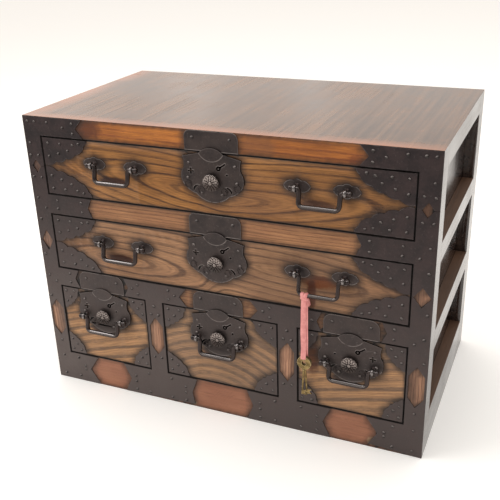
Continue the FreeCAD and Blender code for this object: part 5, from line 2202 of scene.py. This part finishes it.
@dataclass
class KeysOnRibbon:
    """Two keys on a doubled ribbon, hitched round the middle drawer's right bail."""

    shop: Workshop
    body: str = "ribbon_and_keys"
    across: float = 134.0
    bar_y: float = -175.89
    bar_z: float = 231.53
    width: float = 8.0
    bow: float = 10.0
    bow_z: float = 127.53
    bit_foot: float = -51.0

    @property
    def bar(self) -> Vector:
        """The middle of the bar that the ribbon hangs from, in metres."""
        return Vector((self.across * MM, self.bar_y * MM, self.bar_z * MM))

    def build(self) -> None:
        keys = self.keys()
        hitch = self.hitch()
        strap, path = self.strap()
        self.shop.dressed(keys, OldBrass(), Slot.BRASS, self.body, "keys")
        self.shop.dressed(hitch, Satin(), Slot.RIBBON, self.body)
        self.shop.dressed(strap, Satin(), Slot.RIBBON, self.body, "key_ribbon")
        length = sum((b - a).length for a, b in zip(path, path[1:]))
        tuple(path[0])
        [tuple(point) for point in path]

    def route(self) -> list[Vector]:
        """The points down the middle of the strap, read from its smooth route.

        Returns:
            The points, from the hitch down.
        """
        curve = bpy.data.curves.new("ribbon_route", "CURVE")
        curve.dimensions = "3D"
        spline = curve.splines.new("NURBS")
        top, foot = self.bar_z - 4.6, self.bow_z + 6.5
        bends = [
            (0.0, 0.0, top),
            (0.3, -0.4, top - 26),
            (-0.3, 0.3, (top + foot) / 2),
            (0.2, 0.3, foot + 20),
            (0.0, 0.0, foot),
        ]
        spline.points.add(len(bends) - 1)
        for point, (x, y, z) in zip(spline.points, bends):
            point.co = ((self.across + x) * MM, (self.bar_y + y) * MM, z * MM, 1.0)
        spline.order_u = 3
        spline.use_endpoint_u = True
        spline.resolution_u = 16
        holder = bpy.data.objects.new("ribbon_route", curve)
        mesh = bpy.data.meshes.new_from_object(holder)
        line = [vertex.co.copy() for vertex in mesh.vertices]
        bpy.data.objects.remove(holder)
        bpy.data.curves.remove(curve)
        bpy.data.meshes.remove(mesh)
        return line

    def band(self, rows: Sequence[Row], crown: float) -> Piece:
        """A flat band with rounded edges and threads along it.

        Args:
            rows: Its middle, half width and half thickness, from end to end.
            crown: How far its middle bows out, as a share of its half thickness.

        Returns:
            The band, closed at both ends.
        """
        outline = [(-1.0, 0.0), (-0.8, 0.9), (-0.3, 1 + crown), (0.3, 1 + crown), (0.8, 0.9)]
        outline += [(1.0, 0.0), (0.8, -0.9), (0.3, crown - 1), (-0.3, crown - 1), (-0.8, -0.9)]
        count = len(outline)
        points = [at + wide * a + thick * b for at, wide, thick in rows for a, b in outline]
        faces = [tuple(reversed(range(count))), tuple(range(len(points) - count, len(points)))]
        for here in range(0, len(points) - count, count):
            for n in range(count):
                after = (n + 1) % count
                faces.append((here + n, here + after, here + count + after, here + count + n))
        mesh = bpy.data.meshes.new("band")
        mesh.from_pydata(points, [], faces)
        reach = [0.0]
        for (start, *_), (end, *_) in zip(rows, rows[1:]):
            reach.append(reach[-1] + (end - start).length)
        weave = mesh.uv_layers.new(name="weave")
        for loop in mesh.loops:
            row, n = divmod(loop.vertex_index, count)
            weave.data[loop.index].uv = (outline[n][0] / 2 + 0.5, reach[row] / (self.width * MM))
        band = bpy.data.objects.new("band", mesh)
        bpy.context.scene.collection.objects.link(band)
        with editing(band):
            pick_all()
            bpy.ops.mesh.normals_make_consistent(inside=False)
        return smoothed(band, 50.0)

    def strap(self) -> tuple[Piece, list[Vector]]:
        """The two layers of the hanging ribbon.

        Returns:
            The strap, and the points down its middle.
        """
        path = self.route()
        layers = []
        for side, lean in ((-1, 0.16), (1, -0.1)):
            last = len(path) - 1
            rows = [self.layer(at, n / last, side, lean) for n, at in enumerate(path)]
            layers.append(self.band(rows, 0.6 * side))
        return joined(layers, "key_ribbon_strap"), path

    def layer(self, point: Vector, t: float, side: int, lean: float) -> Row:
        """One row of a layer of the strap.

        Args:
            point: The middle of the strap.
            t: How far down it is, from 0 to 1.
            side: Which layer: -1 in front, 1 behind.
            lean: How far the layer twists.

        Returns:
            The row. The layers part before the keys, and are narrow at the hitch.
        """
        parting = 0.86
        turn = lean * math.sin(2.4 * t + 0.4) + 0.05 * math.sin(9 * t)
        spread = 0.75 + 2.6 * max(0.0, t - parting) / (1 - parting)
        narrow = 0.98 - 0.12 * math.exp(-((t / 0.08) ** 2)) - 0.06 * math.sin(5 * t) ** 2
        shift = Vector((0.7 + 0.6 * math.sin(3 * t), spread, 0)) * (side * MM)
        wide = Vector((math.cos(turn), math.sin(turn), 0)) * (self.width / 2 * narrow * MM)
        return point + shift, wide, Vector((-math.sin(turn), math.cos(turn), 0)) * (0.32 * MM)

    def hitch(self) -> Piece:
        """The cow hitch round the bar: two turns over it, a band across them and a loose end.

        Returns:
            The hitch.
        """
        parts = []
        for side in (-1, 1):
            rows = [self.over_bar(math.radians(-75 + 330 * n / 24), side) for n in range(25)]
            parts.append(self.band(rows, 0.5))
        rows = [self.round_turns(math.radians(200 + 320 * n / 24)) for n in range(25)]
        parts.append(self.band(rows, 0.4))
        parts.append(self.band([self.loose_end(n / 11) for n in range(12)], 0.5))
        return joined(parts, "key_ribbon_hitch")

    def over_bar(self, angle: float, side: int) -> Row:
        """A row of a turn over the bar.

        Args:
            angle: Where it is round the bar.
            side: Which turn: -1 on the left, 1 on the right.

        Returns:
            The row.
        """
        out = Vector((0, math.cos(angle), math.sin(angle)))
        shift = Vector((side * (2.3 + 0.5 * math.sin(angle)) * MM, 0, 0))
        wide = Vector((2.5 * MM, 0, 0.25 * side * MM * math.cos(angle)))
        return self.bar + shift + out * 3.3 * MM, wide, out * (0.42 * MM)

    def round_turns(self, angle: float) -> Row:
        """A row of the band across the turns.

        Args:
            angle: Where it is round the turns.

        Returns:
            The row.
        """
        out = Vector((math.cos(angle) * 5.2, math.sin(angle) * 2.0, 0)) * MM
        below = Vector((0, -0.6 * MM, -4.6 * MM + 0.5 * MM * math.sin(2 * angle)))
        thick = Vector((math.cos(angle), math.sin(angle), 0)) * (0.45 * MM)
        return self.bar + below + out, Vector((0.2 * MM, 0, 2.1 * MM)), thick

    def loose_end(self, t: float) -> Row:
        """A row of the short end that hangs beside the strap.

        Args:
            t: How far down the end it is, from 0 to 1.

        Returns:
            The row.
        """
        shift = Vector((3.2 + 4.4 * t, -1.2 + 0.9 * math.sin(3 * t), -3.5 - 10.5 * t**1.3)) * MM
        wide = Vector((math.cos(0.5 + 0.7 * t), math.sin(0.5 + 0.7 * t), 0.3)) * (2.2 * MM)
        return self.bar + shift, wide, Vector((-math.sin(0.5), math.cos(0.5), 0)) * (0.3 * MM)

    def key(self) -> Piece:
        """One key: a flat round bow, a collar, a shank and a notched bit.

        Returns:
            The key, hanging from the origin.
        """
        upright, foot = (0, 0, 0), self.bit_foot
        bpy.ops.mesh.primitive_circle_add(
            vertices=40, radius=self.bow * MM, fill_type="NGON", rotation=TURNED
        )
        bow = added()
        with editing(bow):
            pick_all()
            bpy.ops.mesh.inset(thickness=6.2 * MM)
            bpy.ops.transform.resize(value=(0.85, 1, 1.05), center_override=(0, 0, 0))
            bpy.ops.mesh.delete(type="FACE")
        wall = bow.modifiers.new("thickness", "SOLIDIFY")
        wall.thickness = 1.8 * MM
        wall.offset = 0.0
        finished(bow, wall)
        eased(bow, 0.35)
        long = 1.4 - self.bow - foot
        shank = round_bar((0, 0, (foot + long / 2) * MM), 1.4, long, 16, upright)
        eased(shank, 0.3)
        collar = round_bar((0, 0, (-self.bow - 1.0) * MM), 2.3, 1.8, 20, upright)
        eased(collar, 0.45)
        place = (4.2 * MM, 0, (foot + 3.6) * MM)
        bpy.ops.mesh.primitive_cube_add(size=MM, location=place)
        bit = added()
        with editing(bit):
            stretch((6.6, 1.6, 7.0), place)
            for z in (foot + 2.4, foot + 4.4):
                pick_all()
                bpy.ops.mesh.bisect(plane_co=(0, 0, z * MM), plane_no=(0, 0, 1))
            notch = lambda centre: foot + 2.5 < centre.z / MM < foot + 4.3
            pick_faces(bit, lambda centre, normal: normal.x > 0.9 and notch(centre))
            bpy.ops.transform.translate(value=(-3.2 * MM, 0, 0))
        eased(bit, 0.2)
        return joined([bow, shank, collar, bit], "key")

    def keys(self) -> Piece:
        """Both keys, a little apart and splayed.

        Returns:
            The keys.
        """
        pattern = self.key()
        low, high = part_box("keys")
        place = Vector(((low.x + high.x) / 2, self.bar_y * MM, self.bow_z * MM))
        both = []
        for side, splay in ((-1, 3.0), (1, -3.5)):
            turn = Matrix.Rotation(math.radians(splay), 4, "Y")
            at = Matrix.Translation(place + Vector((0, side * 1.5 * MM, 0)))
            both.append(twin(pattern, at @ turn))
        dropped([pattern])
        return joined(both, "keys_filed")


@dataclass
class Studio:
    """Pale floor, soft light and the camera, in millimetres and degrees."""

    stand: tuple[float, float, float] = (433.5, -1032.46, 700.0)
    lens: float = 55.31
    azimuth: float = 23.702
    elevation: float = 23.883
    roll: float = -1.8
    paper: Colour = (0.92, 0.905, 0.88)
    glow: Colour = (1.0, 0.98, 0.955)
    sky: Colour = (1.0, 0.95, 0.895)
    behind: float = 1.18
    before: float = 0.55
    folds: tuple[tuple[float, float, float], ...] = (
        (-0.455, 0.04, 0.26),
        (-0.31, 0.035, 0.2),
        (-0.6, 0.07, 0.2),
    )

    def build(self) -> None:
        """Sets the floor, lights, world and camera."""
        self.floor()
        self.light("left_light", (-1700, -1100, 2000), (0, 0, 200), 1400, 24.0)
        self.light("high_light", (300, 100, 3000), (100, 0, 0), 2600, 40.0)
        self.world()
        self.camera()
        bpy.context.scene.view_settings.view_transform = "Standard"

    def floor(self) -> None:
        """A wide pale floor."""
        bpy.ops.mesh.primitive_plane_add(size=24)
        floor = added()
        floor.name = "studio_floor"
        material = bpy.data.materials.new("floor_paper")
        material.use_nodes = True
        inputs = material.node_tree.nodes["Principled BSDF"].inputs
        inputs["Base Color"].default_value = (*self.paper, 1.0)
        inputs["Roughness"].default_value = 0.9
        inputs["Emission Color"].default_value = (*self.glow, 1.0)
        inputs["Emission Strength"].default_value = 0.2
        floor.data.materials.append(material)

    @staticmethod
    def light(name: str, place: Triple, aim: Triple, size: float, power: float) -> None:
        """A square soft light.

        Args:
            name: Its name.
            place: Where it hangs.
            aim: What it shines at.
            size: Its side.
            power: Its power in watts.
        """
        bpy.ops.object.light_add(type="AREA", location=Vector(place) * MM)
        lamp = bpy.context.view_layer.objects.active
        lamp.name = name
        lamp.rotation_euler = (Vector(aim) - Vector(place)).to_track_quat("-Z", "Y").to_euler()
        lamp.data.size = size * MM
        lamp.data.energy = power

    def world(self) -> None:
        """A warm white surround, bright behind the chest and dim before it, with soft folds."""
        world = bpy.data.worlds.new("white_surround")
        world.use_nodes = True
        tree = Tree(world.node_tree)
        parts = tree.parts(tree.put("ShaderNodeTexCoord").outputs["Generated"])
        deep = tree.span(parts["Y"], -0.7, 0.5, self.before, self.behind)
        across = tree.span(parts["X"], -0.6, 0.6, 1.0, 0.72)
        for fold, wide, strong in self.folds:
            off = tree.math("ABSOLUTE", tree.minus(parts["X"], fold))
            across = tree.plus(across, tree.span(off, 0.2 * wide, wide, strong, 0.0))
        back = world.node_tree.nodes["Background"]
        back.inputs["Color"].default_value = (*self.sky, 1.0)
        tree.feed(back.inputs["Strength"], tree.times(deep, across))
        bpy.context.scene.world = world

    def camera(self) -> None:
        """The camera, at the height of a standing eye that looks down a little."""
        around, up, lean = (math.radians(a) for a in (self.azimuth, self.elevation, self.roll))
        flat = Vector((-math.sin(around), math.cos(around), 0)) * math.cos(up)
        ahead = flat - Vector((0, 0, math.sin(up)))
        right = Vector((math.cos(around), math.sin(around), 0))
        above = right.cross(ahead)
        level = right * math.cos(lean) + above * math.sin(lean)
        upright = above * math.cos(lean) - right * math.sin(lean)
        bpy.ops.object.camera_add()
        camera = bpy.context.view_layer.objects.active
        camera.name = "view_camera"
        turn = Matrix((level, upright, -ahead)).transposed()
        camera.matrix_world = Matrix.Translation(Vector(self.stand) * MM) @ turn.to_4x4()
        camera.data.lens = self.lens
        camera.data.sensor_width = 36.0
        camera.data.clip_end = 60.0
        bpy.context.scene.camera = camera


HANDLES = {
    "top": ((-152, 377.5), (152, 377.5)),
    "middle": ((-152, 257.5), (152, 257.5)),
    "left": ((-197, 129),),
    "centre": ((-1.7, 129),),
    "right": ((195.3, 129),),
}
BAILS = ("top_left", "top_right", "middle_left", "left", "centre", "right")


def drawer_woods() -> dict[str, BoldWood]:
    """The five drawer fronts' boards, each with its own figure.

    Returns:
        The boards by the drawers' names.
    """
    golden = dict(pale=(0.42, 0.188, 0.054), ripe=(0.31, 0.134, 0.042), dark=(0.052, 0.02, 0.01))
    dull = dict(pale=(0.43, 0.227, 0.112), ripe=(0.32, 0.162, 0.08), dark=(0.085, 0.043, 0.028))
    tawny = dict(pale=(0.53, 0.28, 0.125), ripe=(0.40, 0.215, 0.105), dark=(0.125, 0.08, 0.057))
    tawny["smoke"] = (0.03, 0.022, 0.019)
    # dark_red: the dark reddish streaks just right of the ribbon
    dark_red = (0.07, 0.018, 0.008)
    # bail_shadow_and_stain: a rust stain with the painted shadow of a bail's grip, just above the
    # grip
    bail_shadow_and_stain = (0.03, 0.007, 0.004)
    return {
        "top": BoldWood(
            "top_drawer_wood",
            (Pith(-8, 350, 62, 9.2, -8), Pith(8, 345, 72, 9, 4, 5, 25)),
            **golden,
            wander=3.2,
            contrast=0.95,
            spots=(
                Spot(-157, 354, 29, 7.5, bail_shadow_and_stain, 0.95, 0.2),
                Spot(147, 354, 29, 7.5, bail_shadow_and_stain, 0.9, 0.2),
                # painted shade: the right part of the board made darker, where the light falls off
                Spot(125, 350, 95, 60, (0.15, 0.062, 0.024), 0.3, 0.1),
            ),
        ),
        "middle": BoldWood(
            "middle_drawer_wood",
            (Pith(-150, 231, 52, 10, -1), Pith(96, 252, 60, 9.5, -5, -2, 30)),
            **dull,
            wander=4.4,
            contrast=0.9,
            wide=1.1,
            spots=(
                # painted shade: the right part of the board made darker, where the light falls off
                Spot(125, 240, 100, 60, (0.13, 0.065, 0.032), 0.42, 0.1),
                Spot(150, 246, 27, 10, (0.16, 0.042, 0.009), 0.92),
                # a dark reddish streak just right of the ribbon
                Spot(139, 226, 7, 27, dark_red, 0.9, 0.25),
                Spot(150, 252, 24, 3.5, (0.06, 0.017, 0.008), 0.6, 0.3),
                Spot(-157, 234, 29, 7.5, bail_shadow_and_stain, 0.95, 0.2),
            ),
        ),
        "left": BoldWood(
            "left_drawer_wood",
            (Pith(-225, 20, 200, 14, 17),),
            **tawny,
            wide=1.6,
            slope=17.0,
            spots=(Spot(-203, 104, 26, 7, bail_shadow_and_stain, 0.9, 0.2),),
        ),
        "centre": BoldWood(
            "centre_drawer_wood",
            (Pith(-10, 15, 17, 13.5),),
            **tawny,
            wide=1.7,
            slope=3.0,
            spots=(
                Spot(0, 100, 110, 90, (0.13, 0.095, 0.075), 0.3, 0.1),
                Spot(-8, 104, 26, 7, bail_shadow_and_stain, 0.9, 0.2),
            ),
        ),
        "right": BoldWood(
            "right_drawer_wood",
            (Pith(100, 20, 200, 14, 15),),
            **tawny,
            wide=1.6,
            slope=15.0,
            spots=(
                # a dark reddish patch just right of the ribbon
                Spot(141, 132, 11, 34, dark_red, 0.85, 0.3),
                Spot(189, 104, 26, 7, bail_shadow_and_stain, 0.9, 0.2),
            ),
        ),
    }


def main() -> None:
    """Builds the studio and every sub-assembly of the chest."""
    logging.basicConfig(level=logging.INFO, format="%(message)s")
    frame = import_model()
    clear_selection()
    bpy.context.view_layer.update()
    Studio().build()
    shop = Workshop(frame, Palette(Effects()), random.Random(11))
    KeysOnRibbon(shop).build()
    Carcass(shop).build()
    woods = drawer_woods()
    for name, handles in HANDLES.items():
        Drawer(shop, name, woods[name], handles).build()
    for name in BAILS:
        Bail(f"{name}_bail").build(shop)
    Bail("middle_right_bail", rod=2.7, drop=26.5).build(shop)
    dropped([shop.nail_pattern()])


if __name__ == "__main__":
    main()
